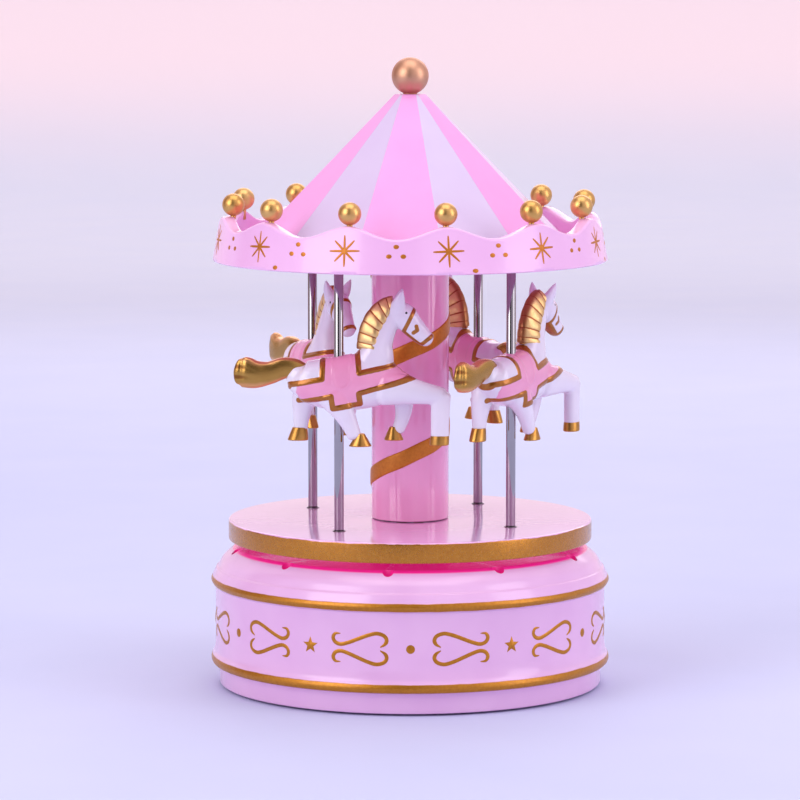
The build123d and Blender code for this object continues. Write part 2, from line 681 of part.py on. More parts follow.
# ---- horses and poles -----------------------------------------------------------------------
# One horse, facing +X with its pole on the Z axis. Heights are those of the assembly.
with BuildPart() as horse_shape:
    limb([(-14.0, 0, 91.5, 2.0, 2.0), (-9.5, 0, 90.2, 4.8, 6.2), (-3, 0, 89.9, 5.8, 7.5),
          (4, 0, 90.2, 5.8, 8.0), (11, 0, 90.6, 5.4, 7.2), (17, 0, 89.2, 4.2, 4.6)])
    limb([(9.5, 0, 92.5, 4.4, 6.4), (11.6, 0, 100.5, 3.6, 4.2), (14.0, 0, 107.0, 3.2, 3.5),
          (16.6, 0, 112.0, 2.9, 2.8)])
    limb([(14.9, 0, 111.6, 2.6, 2.6), (18.4, 0, 108.5, 3.2, 3.4), (22.0, 0, 104.8, 2.5, 2.9),
          (25.2, 0, 101.8, 1.9, 2.0)])
    for side in (-2.2, 2.2):
        limb([(16.2, side, 112.0, 1.2, 1.2), (17.2, side * 1.5, 114.4, 0.9, 0.9),
              (18.0, side * 1.9, 116.0, 0.25, 0.25)])
    # forelegs: the right one is raised and straight down from the knee
    limb([(15, -2.6, 89.2, 2.8, 4.4), (23, -3, 87.2, 2.3, 2.8), (28.4, -3, 85.6, 2.1, 2.5)])
    limb([(28.5, -3, 87.6, 2.0, 2.3), (28.4, -3, 81, 1.8, 2.4), (28.2, -3, 75.2, 1.8, 2.4),
          (28.0, -3, 72.8, 2.1, 2.6)])
    limb([(17.4, 2.8, 88, 2.6, 3.6), (18.0, 3.6, 81.5, 2.1, 2.6), (16.9, 3.8, 76.6, 1.6, 1.7),
          (15.6, 3.8, 73.4, 1.9, 2.4)])
    # hind legs
    limb([(-1.5, -2.8, 87, 2.6, 4.2), (1.6, -3.4, 81, 2.2, 2.6), (4.4, -3.4, 76.2, 1.6, 1.9),
          (6.0, -3.4, 72.8, 1.9, 2.8)])
    limb([(-8.6, 3.0, 89, 2.8, 4.6), (-10.0, 3.8, 82.5, 2.2, 3.0), (-10.9, 3.8, 77, 1.7, 1.9),
          (-11.6, 3.8, 73.4, 2.0, 2.6)])
    with BuildSketch(Plane.XZ):
        with BuildLine():
            crest = Spline((4.6, 97.5), (5.2, 102.5), (7.4, 108.6), (12.2, 113.2), (16.4, 114.0))
            Polyline(crest @ 1, (15.4, 109.0), (11.6, 100.0), crest @ 0)
        make_face()
    extrude(amount=1.2, both=True)
    with BuildSketch(Plane.XZ):
        with BuildLine():
            upper = Spline((-9.0, 94.6), (-15.0, 97.1), (-21.5, 95.6), (-26.6, 97.4), (-29.2, 93.4))
            lower = Spline(upper @ 1, (-26.8, 89.2), (-23.0, 88.2), (-17.0, 90.6), (-10.5, 90.6))
            Line(lower @ 1, upper @ 0)
        make_face()
    extrude(amount=1.7, both=True)
    post(pole_radius, 60, 120, mode=Mode.SUBTRACT)

for k, (spot, heading) in enumerate(zip(pole_points, headings), start=1):
    with BuildPart() as pole:
        post(pole_radius, pole_low, pole_high, spot)
    save(pole.part, f"pole_{k}")
    with BuildPart() as horse:
        with Locations(Location((spot[0], spot[1], 0), (0, 0, heading))):
            add(horse_shape.part)
    save(horse.part, f"horse_{k}")
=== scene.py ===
import json
import math

import bpy
import numpy as np
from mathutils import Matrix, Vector


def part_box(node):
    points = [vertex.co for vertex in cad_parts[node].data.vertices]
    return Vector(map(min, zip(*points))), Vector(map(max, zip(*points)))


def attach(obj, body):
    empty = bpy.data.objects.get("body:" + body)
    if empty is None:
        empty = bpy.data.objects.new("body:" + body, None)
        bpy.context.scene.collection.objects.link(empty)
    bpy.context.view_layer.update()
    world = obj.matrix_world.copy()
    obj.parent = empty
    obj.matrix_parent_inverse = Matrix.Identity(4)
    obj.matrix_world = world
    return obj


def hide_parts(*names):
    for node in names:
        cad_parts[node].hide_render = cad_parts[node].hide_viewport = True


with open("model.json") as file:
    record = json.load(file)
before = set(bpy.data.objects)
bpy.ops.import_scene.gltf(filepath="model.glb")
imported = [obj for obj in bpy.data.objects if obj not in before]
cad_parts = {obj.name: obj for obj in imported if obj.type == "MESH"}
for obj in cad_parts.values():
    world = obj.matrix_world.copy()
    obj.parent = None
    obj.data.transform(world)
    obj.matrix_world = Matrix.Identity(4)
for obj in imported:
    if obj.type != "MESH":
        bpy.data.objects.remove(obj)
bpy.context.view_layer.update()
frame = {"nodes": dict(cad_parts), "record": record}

# All lengths below are millimetres; meshes are written in metres.
MM = 0.001
TAU = 2 * math.pi
RIM_SIDES = 12
SOUND_HOLES = 10
SOUND_HOLE_RADIUS = 1.6
SOUND_HOLE_TURN = -133        # plan angle of the first sound hole, in degrees
POLE_RADIUS = 1.35
RIBBON_PITCH = 30.0
CONE_TIP_RADIUS = 4.4
CONE_SLOPE = 1.013            # rise of the cone over its run
BALL_RADIUS = 3.2
BALL_RING = 51.0              # radius of the circle that the balls stand on
FLANGE_RADIUS = 34.0          # inner radius of the skirt's flange
SKIRT_WALL = 3.8
SKIRT_PAINT_RADIUS = 54.6     # radius on which arc lengths on the skirt are measured
STAR_HEIGHT = 128.7
FRIEZE_HEIGHT = 19.0
HORSE_HEADINGS = (0.0, 57.0, 130.0, -64.0)
BLACK = (0, 0, 0, 1)


def top_of(node):
    """Highest point of a CAD node, in millimetres."""
    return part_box(node)[1].z / MM


def bottom_of(node):
    """Lowest point of a CAD node, in millimetres."""
    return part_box(node)[0].z / MM


# ---- mesh helpers
def new_object(name, data):
    """An object at the origin that holds the data, linked to the scene."""
    obj = bpy.data.objects.new(name, data)
    bpy.context.scene.collection.objects.link(obj)
    return obj


def write_points(mesh, points):
    """Moves a mesh's vertices to an (n, 3) array in millimetres."""
    mesh.vertices.foreach_set("co", (np.asarray(points, float) * MM).astype(np.float32).ravel())


def make_mesh(name, points, faces, sharp=None):
    """A smooth-shaded object from an (n, 3) array in millimetres and a list of face index arrays.
    Edges that turn by more than sharp degrees stay crisp."""
    mesh = bpy.data.meshes.new(name)
    sizes = np.concatenate([np.full(len(f), f.shape[1]) for f in faces])
    corners = np.concatenate([f.reshape(-1) for f in faces]).astype(np.int32)
    starts = np.concatenate([[0], np.cumsum(sizes)[:-1]]).astype(np.int32)
    mesh.vertices.add(len(points))
    write_points(mesh, points)
    mesh.loops.add(len(corners))
    mesh.loops.foreach_set("vertex_index", corners)
    mesh.polygons.add(len(sizes))
    mesh.polygons.foreach_set("loop_start", starts)
    mesh.polygons.foreach_set("loop_total", sizes.astype(np.int32))
    mesh.update(calc_edges=True)
    mesh.polygons.foreach_set("use_smooth", np.ones(len(sizes), bool))
    if sharp is not None:
        mesh.set_sharp_from_angle(angle=math.radians(sharp))
    return new_object(name, mesh)


def applied(obj):
    """A copy of the object's mesh with its modifiers applied."""
    graph = bpy.context.evaluated_depsgraph_get()
    return bpy.data.meshes.new_from_object(obj.evaluated_get(graph))


def circle(count):
    """Evenly spaced angles round one full turn."""
    return np.arange(count) * TAU / count


def polar(radius, turn, height):
    """Points from a radius and an angle about the Z axis and a height, broadcast together."""
    radius, turn, height = np.broadcast_arrays(radius, turn, height)
    return np.stack([radius * np.cos(turn), radius * np.sin(turn), height], -1)


def squared(turn, power):
    """Cosine and sine of the angles, raised to a power with their signs kept: a power below 1
    pushes a round section towards a square one."""
    both = np.array([np.cos(turn), np.sin(turn)])
    return np.sign(both) * np.abs(both) ** power


def grid_faces(rows, cols, ring_rows=False, ring_cols=True, start=0):
    """Quads between neighbouring points of a rows by cols grid, wrapped where asked."""
    index = start + np.arange(rows * cols).reshape(rows, cols)
    if ring_rows:
        index = np.vstack([index, index[:1]])
    if ring_cols:
        index = np.hstack([index, index[:, :1]])
    a, b = index[:-1, :-1], index[:-1, 1:]
    c, d = index[1:, 1:], index[1:, :-1]
    return np.stack([a, b, c, d], -1).reshape(-1, 4)


def tube_mesh(rings):
    """Points and faces of a closed tube: rings is (rows, cols, 3); an end closes on its middle."""
    rows, cols = rings.shape[:2]
    points = np.vstack([rings.reshape(-1, 3), rings[0].mean(0), rings[-1].mean(0)])
    first = np.arange(cols)
    last = first + (rows - 1) * cols
    low = np.stack([np.roll(first, -1), first, np.full(cols, rows * cols)], -1)
    high = np.stack([last, np.roll(last, -1), np.full(cols, rows * cols + 1)], -1)
    return points, [grid_faces(rows, cols), low, high]


def join_parts(parts):
    """One (points, faces) pair from several; faces are gathered by their number of corners."""
    points, by_size, offset = [], {}, 0
    for part_points, part_faces in parts:
        points.append(part_points)
        for f in part_faces:
            by_size.setdefault(f.shape[1], []).append(f + offset)
        offset += len(part_points)
    return np.vstack(points), [np.vstack(v) for v in by_size.values()]


def smooth_line(points, steps):
    """Catmull-Rom curve through the points, steps samples between neighbours, ends included."""
    p = np.asarray(points, float)
    p = np.vstack([2 * p[0] - p[1], p, 2 * p[-1] - p[-2]])
    t = np.linspace(0, 1, steps, endpoint=False)[:, None]
    a, b, c, d = p[:-3, None], p[1:-2, None], p[2:-1, None], p[3:, None]
    curve = 0.5 * (2 * b + (c - a) * t + (2 * a - 5 * b + 4 * c - d) * t ** 2
                   + (3 * b - a - 3 * c + d) * t ** 3)
    return np.vstack([curve.reshape(-1, p.shape[1]), p[-2]])


def rounded(points, steps=5):
    """Outline with rounded corners: points are (r, z, radius); each corner becomes a curve that
    starts and ends radius away from it and bends by a quadratic blend."""
    p = np.array([q[:2] for q in points], float)
    out = []
    for i, (_, _, radius) in enumerate(points):
        before, here, after = p[i - 1], p[i], p[(i + 1) % len(p)]
        back, ahead = before - here, after - here
        reach = min(radius, 0.45 * np.hypot(*back), 0.45 * np.hypot(*ahead))
        if reach < 0.01:
            out.append(here[None])
            continue
        a = here + back / np.hypot(*back) * reach
        b = here + ahead / np.hypot(*ahead) * reach
        t = np.linspace(0, 1, steps)[:, None]
        out.append((1 - t) ** 2 * a + 2 * t * (1 - t) * here + t ** 2 * b)
    return np.vstack(out)


def spin(profile, segments=256):
    """Points and faces of a closed profile (r, z), listed up the outside first, turned about Z."""
    grid = polar(profile[:, :1], circle(segments), profile[:, 1:])
    return grid.reshape(-1, 3), [grid_faces(len(profile), segments, ring_rows=True)]


def ball_mesh(centre, radius, rows=20, cols=32):
    """Points and faces of a sphere, by latitude and longitude, with a fan at each pole."""
    lat = np.linspace(-math.pi / 2, math.pi / 2, rows + 2)[1:-1][:, None]
    centre = np.asarray(centre, float)
    points, faces = tube_mesh(polar(np.cos(lat), circle(cols), np.sin(lat)) * radius + centre)
    points[-2:] = centre + np.array([[0, 0, -radius], [0, 0, radius]])
    return points, faces


def post_mesh(centre, profile, cols=40):
    """Points and faces of a turned post at centre (x, y); profile lists (r, z) from below."""
    p = np.asarray(profile, float)
    return tube_mesh(polar(p[:, :1], circle(cols), p[:, 1:]) + [centre[0], centre[1], 0])


def stroke_mesh(path, width, rise, wrap, cols=9):
    """A painted line with a rounded back. path is (n, 2) across and up a surface; its half width at
    each point is width, its height is rise; wrap(across, up, out) gives the place in space."""
    path = np.asarray(path, float)
    along = np.gradient(path, axis=0)
    along /= np.maximum(np.hypot(*along.T), 1e-9)[:, None]
    side = np.stack([along[:, 1], -along[:, 0]], -1)
    turn = circle(cols * 2)
    half = np.broadcast_to(np.asarray(width, float), (len(path),))[:, None]
    flat = path[:, None] + side[:, None] * (half * np.cos(turn))[..., None]
    out = rise * np.sin(turn) * np.minimum(1, half / np.max(half) * 1.5)
    return tube_mesh(wrap(flat[..., 0], flat[..., 1], out))


# ---- shader helpers
class Wire:
    """A shader value. The usual operators on it add Math nodes to its material."""

    def __init__(self, kit, socket):
        self.kit = kit
        self.socket = socket

    def maths(self, operation, *others, first=None):
        values = [self if first is None else first, *others]
        return self.kit.node("ShaderNodeMath", {"operation": operation}, *values)

    def __add__(self, other):
        return self.maths("ADD", other)

    __radd__ = __add__

    def __mul__(self, other):
        return self.maths("MULTIPLY", other)

    __rmul__ = __mul__

    def __sub__(self, other):
        return self.maths("SUBTRACT", other)

    def __rsub__(self, other):
        return self.maths("SUBTRACT", self, first=other)

    def absolute(self):
        return self.maths("ABSOLUTE")

    def step(self, low, high):
        """Smooth rise from 0 at low to 1 at high."""
        return self.kit.node("ShaderNodeMapRange", {"interpolation_type": "SMOOTHSTEP"},
                             self, low, high, 0.0, 1.0)


class Finish:
    """A material under construction, with one method that adds any node."""

    def __init__(self, name, owner=None, shader="Principled BSDF"):
        self.material = owner or bpy.data.materials.new(name)
        self.material.use_nodes = True
        self.tree = self.material.node_tree
        self.shader = self.tree.nodes[shader]

    def node(self, kind, settings, *values, out=0, **named):
        """Adds a node: its settings first, then its sockets by place and by name."""
        made = self.tree.nodes.new(kind)
        for key, value in settings.items():
            setattr(made, key, value)
        for key, value in [*enumerate(values), *named.items()]:
            socket = made.inputs[key.replace("_", " ") if isinstance(key, str) else key]
            self.put(socket, value)
        return Wire(self, made.outputs[out])

    def put(self, socket, value):
        """Links a wire to a socket, or stores a plain value in it."""
        if isinstance(value, Wire):
            self.tree.links.new(value.socket, socket)
        elif value is not None:
            socket.default_value = value

    def spot(self):
        """Object coordinates as one vector, in metres."""
        return self.node("ShaderNodeTexCoord", {}, out="Object")

    def split(self, vector):
        """The three parts of a vector."""
        x = self.node("ShaderNodeSeparateXYZ", {}, vector)
        return [Wire(self, x.socket.node.outputs[i]) for i in range(3)]

    def place(self):
        """Object coordinates in millimetres, as three wires."""
        return self.split(self.node("ShaderNodeVectorMath", {"operation": "SCALE"}, self.spot(),
                                    Scale=1 / MM))

    def round_place(self):
        """Distance from the Z axis and height, in millimetres."""
        x, y, z = self.place()
        return (x * x + y * y).maths("SQRT"), z

    def noise(self, size, detail=3.0, roughness=0.5):
        """Noise from 0 to 1 whose lumps are about size millimetres."""
        return self.node("ShaderNodeTexNoise", {}, Vector=self.spot(), Scale=1 / (size * MM),
                         Detail=detail, Roughness=roughness)

    def field(self, name):
        """A number stored on the mesh."""
        return self.node("ShaderNodeAttribute", {"attribute_name": name}, out="Fac")

    def colour(self, factor, first, second):
        """A colour between two, by a factor."""
        mix = self.node("ShaderNodeMix", {"data_type": "RGBA"}, out=2)
        for socket, value in ((0, factor), (6, first), (7, second)):
            self.put(mix.socket.node.inputs[socket], value)
        return mix

    def bump(self, height, depth, strength=1.0):
        """Normal from a height of 0 to 1, where 1 stands depth millimetres out."""
        return self.node("ShaderNodeBump", {}, Height=height, Distance=depth * MM,
                         Strength=strength)

    def finish(self, **sockets):
        """Sets the Principled shader's sockets by name and returns the material."""
        for key, value in sockets.items():
            self.put(self.shader.inputs[key.replace("_", " ")], value)
        return self.material


def rgb(red, green, blue):
    """A colour from its 0 to 255 screen values."""
    return tuple(((v / 255 + 0.055) / 1.055) ** 2.4 if v > 10 else v / 255 / 12.92
                 for v in (red, green, blue)) + (1.0,)


ORCHID = rgb(240, 196, 232)
ORCHID_DEEP = rgb(228, 176, 222)
CANDY = rgb(246, 168, 228)
LILAC = rgb(222, 206, 234)
ROSE = rgb(252, 176, 216)
# deep magenta of the painted bounced light under the turntable
PAINTED_BOUNCE_MAGENTA = rgb(226, 36, 136)
PAINT_GOLD = rgb(210, 148, 44)
PAINT_DARK = rgb(166, 98, 22)
TRIM_GOLD = rgb(192, 124, 32)
TRIM_DARK = rgb(148, 80, 16)
HORSE_WHITE = rgb(240, 235, 243)


def moulded(name, pale, deep, rough=0.22, mark=None, coat=0.5, painted_glow=None):
    """Glossy moulded plastic: a slight cloudiness in the colour, a faint ripple in the skin, and,
    where mark is near 1, hand-painted bronze-gold with brush streaks. Where painted_glow is near 1
    the plastic is painted deep magenta with a faint emission: painted bounced light in the shade
    under the turntable."""
    kit = Finish(name)
    cloud = kit.noise(14.0, 2.0)
    ripple = kit.noise(2.2, 3.0)
    grain = kit.noise(0.35, 2.0)
    colour = kit.colour(cloud, pale, deep)
    if painted_glow is not None:
        # painted bounced light: deep magenta colour and a faint emission where the mask is near 1
        inner = painted_glow(kit)
        colour = kit.colour(inner, colour, PAINTED_BOUNCE_MAGENTA)
        kit.finish(Emission_Color=kit.colour(inner, BLACK, PAINTED_BOUNCE_MAGENTA), Emission_Strength=0.34)
    roughness = ripple * 0.08 + (rough - 0.04)
    height = ripple * 0.8 + grain * 0.2
    metal = 0.0
    if mark is not None:
        painted = mark(kit)
        streak = kit.noise(0.9, 4.0, 0.7)
        colour = kit.colour(painted, colour, kit.colour(streak, PAINT_GOLD, PAINT_DARK))
        roughness = roughness + painted * (streak * 0.15 + 0.1)
        metal = painted * 0.75
        height = height + painted * (streak * 1.4 + 1.0)
        coat = coat - painted * (coat * 0.6)
    return kit.finish(Base_Color=colour, Roughness=roughness, Metallic=metal,
                      Normal=kit.bump(height, 0.035), Coat_Weight=coat, Coat_Roughness=0.08)


def metal(name, bright, dark, rough, streak=0.0, clouds=3.0, depth=0.01):
    """Metal or metallised surface: colour drifts between two tones, with fine scratches in the
    roughness and a shallow bump."""
    kit = Finish(name)
    drift = kit.noise(clouds, 3.0)
    scratch = kit.noise(0.25, 5.0, 0.75)
    return kit.finish(Base_Color=kit.colour(drift, bright, dark), Metallic=1.0,
                      Roughness=scratch * (0.12 + streak) + (rough - 0.06),
                      Normal=kit.bump(scratch, depth))


def matt(name, pale, deep, rough=0.55, depth=0.03, size=0.5):
    """Matt moulded plastic or rubber with a fine spark-eroded texture."""
    kit = Finish(name)
    grain = kit.noise(size, 4.0, 0.6)
    return kit.finish(Base_Color=kit.colour(kit.noise(9.0), pale, deep),
                      Roughness=grain * 0.15 + (rough - 0.07), Normal=kit.bump(grain, depth))


# ---- places that the frame gives
BASE_TOP = top_of("base_housing")
BASE_LOW = bottom_of("base_housing")
BEAD_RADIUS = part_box("base_housing")[1].x / MM
WALL_RADIUS = BEAD_RADIUS - 1.4
TABLE_LOW = bottom_of("turntable") + 1.1
TABLE_TOP = top_of("turntable")
TABLE_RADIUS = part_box("turntable")[1].x / MM
COLUMN_RADIUS = 11.1
CEILING_LOW = bottom_of("ceiling")
SKIRT_LOW = bottom_of("canopy_skirt")
SKIRT_HIGH = top_of("canopy_skirt")
SKIRT_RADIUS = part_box("canopy_skirt")[1].x / MM
CONE_TOP = top_of("canopy_cone")
CONE_LOW = bottom_of("canopy_cone")
RIM_TURN = math.radians(10.9)
SCALLOP_DROP = 3.5


def pole_spot(k):
    """Plan position of pole k, from 1 to 4, in millimetres."""
    low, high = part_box(f"pole_{k}")
    return np.array([(low.x + high.x) / 2, (low.y + high.y) / 2]) / MM


def place(obj, body, material, slot, *nodes):
    """Gives a piece its material and body, and hides the nodes it stands for; slot is not used."""
    obj.data.materials.clear()
    obj.data.materials.append(material)
    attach(obj, body)
    if nodes:
        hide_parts(*nodes)
    return obj


def on_wall(radius):
    """Wraps a flat pattern round a cylinder: across is arc length from the front, up is height."""
    def wrap(across, up, out):
        return polar(radius + out, across / radius - math.pi / 2, up)
    return wrap


def skirt_outer(z):
    """Outside radius of the canopy skirt at height z: a hollow curve through three radii."""
    t = (z - SKIRT_LOW) / (SKIRT_HIGH - SKIRT_LOW)
    top = SKIRT_RADIUS - 2.2
    middle = (SKIRT_RADIUS + top) / 2 - 0.1
    return SKIRT_RADIUS * (1 - t) * (1 - 2 * t) + middle * 4 * t * (1 - t) + top * t * (2 * t - 1)


# ---- base
def bead_mark(kit):
    """1 on the two beads of the base: bands of height, with an edge that wanders like a brush."""
    _, _, z = kit.place()
    wander = (kit.noise(5.0, 3.0) - 0.5) * 0.35
    marks = None
    for middle, half in ((BASE_TOP - 9.4, 1.15), (7.95, 1.25)):
        band = 1 - ((z - middle).absolute() + wander).step(half - 0.12, half + 0.12)
        marks = band if marks is None else marks + band
    return marks


def top_bounce_light(kit):
    """1 on the top plate of the base and in its sound holes, which the turntable shades; there the
    base is given painted bounced light.
    """
    reach, z = kit.round_place()
    return (1 - reach.step(WALL_RADIUS - 5.3, WALL_RADIUS - 4.7)) * z.step(30.0, 31.0)


def build_base():
    """The housing is a closed outline turned about Z, with sound holes cut through its shoulder."""
    wall, top, foot = WALL_RADIUS, BASE_TOP, WALL_RADIUS - 1.1
    outline = [(foot - 2.2, BASE_LOW, 0.3), (foot, BASE_LOW, 0.6), (foot, 6.6, 0.3),
               (wall + 0.9, 6.6, 0.7), (BEAD_RADIUS, 7.9, 1.0), (wall + 1.0, 9.2, 0.6),
               (wall + 0.35, 10.2, 0.6), (wall, 13.0, 1.5), (wall, top - 11.0, 0.5),
               (wall + 0.6, top - 10.7, 0.6), (BEAD_RADIUS, top - 9.4, 1.0),
               (wall + 0.75, top - 8.1, 0.4), (wall - 0.25, top - 5.9, 0.25),
               (wall - 0.75, top - 5.6, 0.25),
               (wall - 2.0, top - 3.2, 1.4), (wall - 4.1, top - 1.4, 0.9),
               (wall - 5.4, top - 0.35, 0.5), (wall - 6.4, top, 0.5), (30.0, top, 0.1),
               (4.0, top, 0.1), (4.0, top - 2.2, 0.1),
               (wall - 8.0, top - 2.2, 0.5), (wall - 5.6, top - 5.0, 0.5),
               (wall - 2.2, top - 9.0, 0.5), (wall - 2.2, 13.0, 0.5), (foot - 2.2, 11.0, 0.5)]
    housing = make_mesh("base_shell", *spin(rounded(outline), 320), sharp=50)
    around = circle(SOUND_HOLES) + math.radians(SOUND_HOLE_TURN)
    drill = [(SOUND_HOLE_RADIUS, top - 7), (SOUND_HOLE_RADIUS, top + 3)]
    cutters = [post_mesh(centre, drill, 28) for centre in polar(wall - 5.6, around, 0.0)]
    cutter = make_mesh("hole_cutters", *join_parts(cutters))
    cut = housing.modifiers.new("holes", "BOOLEAN")
    cut.operation = "DIFFERENCE"
    cut.object = cutter
    cut.solver = "EXACT"
    final = applied(housing)
    final.set_sharp_from_angle(angle=math.radians(30))
    housing.modifiers.clear()
    housing.data = final
    bpy.data.objects.remove(cutter)
    # the top plate under the turntable gets painted bounced light: deep magenta and a faint glow
    orchid = moulded("orchid_plastic", ORCHID, ORCHID_DEEP, mark=bead_mark, painted_glow=top_bounce_light)
    place(housing, "base", orchid, "orchid_plastic", "base_housing")


SCROLL = [(8.4, 0.45), (7.0, 1.4), (6.6, 2.6), (7.4, 3.75), (9.4, 4.3), (11.9, 3.7),
          (14.7, 2.6), (17.5, 1.5), (19.6, 0.95), (21.2, 1.4), (21.9, 2.6), (21.3, 3.8),
          (19.7, 3.95)]


def build_frieze():
    """Gold paint on the wall, six times round: a dot, a heart-shaped pair of scrolls, a star, and
    the scrolls again the other way."""
    wrap = on_wall(WALL_RADIUS - 0.05)
    period = TAU * WALL_RADIUS / 6
    line = smooth_line(SCROLL, 8)
    t = np.linspace(0, 1, len(line))
    width = 0.58 * np.minimum(1, np.minimum(0.25 + t * 7, 0.2 + (1 - t) * 6)) ** 0.8
    dot = np.linspace(0.02, 1, 6)[::-1]
    dome = 0.28 * np.sqrt(1 - 0.9 * dot ** 2)
    point = circle(10) + math.pi / 2
    reach = np.array([1.0, 0.5, 0.03])[:, None] * np.where(np.arange(10) % 2 == 0, 2.95, 1.25)
    rise = np.array([0.0, 0.16, 0.3])[:, None]
    parts = []
    for start in np.arange(6) * period:
        for across, up in ((1, 1), (1, -1), (-1, 1), (-1, -1)):
            path = line * [across, up] + [start, FRIEZE_HEIGHT]
            parts.append(stroke_mesh(path[::across * up], width[::across * up], 0.16, wrap))
        parts.append(bead_on(wrap, start, FRIEZE_HEIGHT, 1.42 * dot, dome))
        parts.append(tube_mesh(wrap(start + period / 2 + reach * np.cos(point),
                                    FRIEZE_HEIGHT + reach * np.sin(point), rise)))
    frieze = make_mesh("frieze_paint", *join_parts(parts), sharp=35)
    place(frieze, "base", bronze_paint(), "orchid_plastic")


def bead_on(wrap, across, up, radii, heights, squeeze=1.0, cols=20):
    """A raised dot on a wall: ellipses of the given radii stacked to the given heights."""
    turn, radii = circle(cols), radii[:, None]
    return tube_mesh(wrap(across + radii * np.cos(turn), up + squeeze * radii * np.sin(turn),
                          heights[:, None] - 0.1))


# ---- metals and paints used by several pieces
def bronze_paint():
    """Hand-laid bronze-gold paint of the frieze."""
    kit = Finish("bronze_gold_paint")
    streak = kit.noise(1.1, 4.0, 0.7)
    return kit.finish(Base_Color=kit.colour(streak, PAINT_GOLD, PAINT_DARK), Metallic=0.65,
                      Roughness=streak * 0.2 + 0.28, Normal=kit.bump(streak, 0.05))


def warm_paint():
    """Warmer gold paint of the column's ribbon and of the canopy's stars and dots."""
    kit = Finish("warm_gold_paint")
    streak = kit.noise(0.8, 4.0, 0.7)
    return kit.finish(Base_Color=kit.colour(streak, rgb(222, 142, 44), rgb(176, 96, 22)),
                      Metallic=0.45, Roughness=streak * 0.2 + 0.3, Normal=kit.bump(streak, 0.04))


# ---- turntable and column
def table_mark(kit):
    """1 on the rim of the turntable below a hand-painted line that wanders up and down."""
    reach, z = kit.round_place()
    wander = (kit.noise(9.0, 3.0) - 0.5) * 0.9
    low = 1 - (z + wander).step(TABLE_TOP - 0.42, TABLE_TOP - 0.18)
    return low * reach.step(TABLE_RADIUS - 0.9, TABLE_RADIUS - 0.7)


def build_table():
    """The turntable is a shallow tray upside down, as a closed outline turned about Z."""
    r, low, top = TABLE_RADIUS, TABLE_LOW, TABLE_TOP
    outline = [(r - 2.2, low, 0.3), (r, low, 0.5), (r, top, 0.55), (2.0, top, 0.1),
               (2.0, low - 1.1, 0.1), (11.0, low - 1.1, 0.3), (11.0, top - 2.5, 0.4),
               (r - 2.2, top - 2.5, 0.4)]
    table = make_mesh("turntable_tray", *spin(rounded(outline, 6), 320), sharp=50)
    pink = moulded("turntable_plastic", rgb(248, 200, 240), rgb(240, 182, 232), rough=0.1,
                   mark=table_mark, coat=1.0)
    place(table, "carousel", pink, "turntable_plastic", "turntable")


def build_column():
    """A tube, and the raised ribbon that climbs it by one pitch each turn."""
    r, low, top = COLUMN_RADIUS, TABLE_TOP + 0.15, CEILING_LOW
    outline = [(r - 1.8, low, 0.1), (r, low, 0.35), (r, top, 0.2), (r - 0.8, top, 0.1),
               (r - 0.8, top + 3, 0.1), (r - 1.8, top + 3, 0.1)]
    tube = make_mesh("column_tube", *spin(rounded(outline), 160), sharp=50)
    rose = moulded("column_plastic", ROSE, rgb(246, 160, 208), rough=0.14, coat=0.8)
    place(tube, "carousel", rose, "column_plastic", "column")
    half, at_front = 2.5, 67.1
    first = (low + 0.4 - at_front + half) / RIBBON_PITCH
    last = (top - 0.2 - at_front - half) / RIBBON_PITCH
    turn = np.linspace(first, last, 420)[:, None] * TAU
    across = np.array([-1.0, -0.97, -0.86, -0.6, -0.3, 0.0, 0.3, 0.6, 0.86, 0.97, 1.0])
    out = np.array([-0.12, 0.12, 0.27, 0.33, 0.35, 0.36, 0.35, 0.33, 0.27, 0.12, -0.12])
    wobble = 0.12 * np.sin(turn * 2.3 + 0.4) + 0.07 * np.sin(turn * 7.1)
    up = at_front + RIBBON_PITCH * turn / TAU + across * (half + wobble * np.sign(across))
    ribbon = make_mesh("column_ribbon", *tube_mesh(polar(r + out, turn - math.pi / 2, up)),
                       sharp=60)
    place(ribbon, "carousel", warm_paint(), "column_plastic")


def build_poles():
    """Each pole is a plain chromed bar; each ferrule a small flanged cup in the turntable."""
    chrome = metal("chrome_plate", rgb(178, 174, 176), rgb(150, 147, 152), 0.09, clouds=20.0,
                   depth=0.002)
    r, rise = POLE_RADIUS, TABLE_TOP + 0.22
    cup = [(1.42, rise - 3, 0.02), (1.42, rise, 0.05), (1.75, rise, 0.12),
           (1.85, rise - 0.2, 0.05), (1.85, rise - 3, 0.02)]
    cup_points, cup_faces = spin(rounded(cup)[::-1], 36)
    ferrules = []
    for k in range(1, 5):
        spot = pole_spot(k)
        low, high = bottom_of(f"pole_{k}"), top_of(f"pole_{k}")
        profile = [(r - 0.15, low), (r, low + 0.2), (r, high - 0.2), (r - 0.15, high)]
        bar = make_mesh(f"pole_bar_{k}", *post_mesh(spot, profile, 36), sharp=40)
        place(bar, f"rider_{k}", chrome, "chrome_parts", f"pole_{k}")
        ferrules.append((cup_points + [spot[0], spot[1], 0], cup_faces))
    cups = make_mesh("ferrule_cups", *join_parts(ferrules), sharp=45)
    # ferrules painted dark and mauve: painted shade at the foot of each pole, on a duller, rougher
    # chrome
    shaded = metal("dull_shaded_chrome", rgb(128, 112, 122), rgb(92, 78, 88), 0.3)
    place(cups, "carousel", shaded, "chrome_parts", "pole_ferrules")


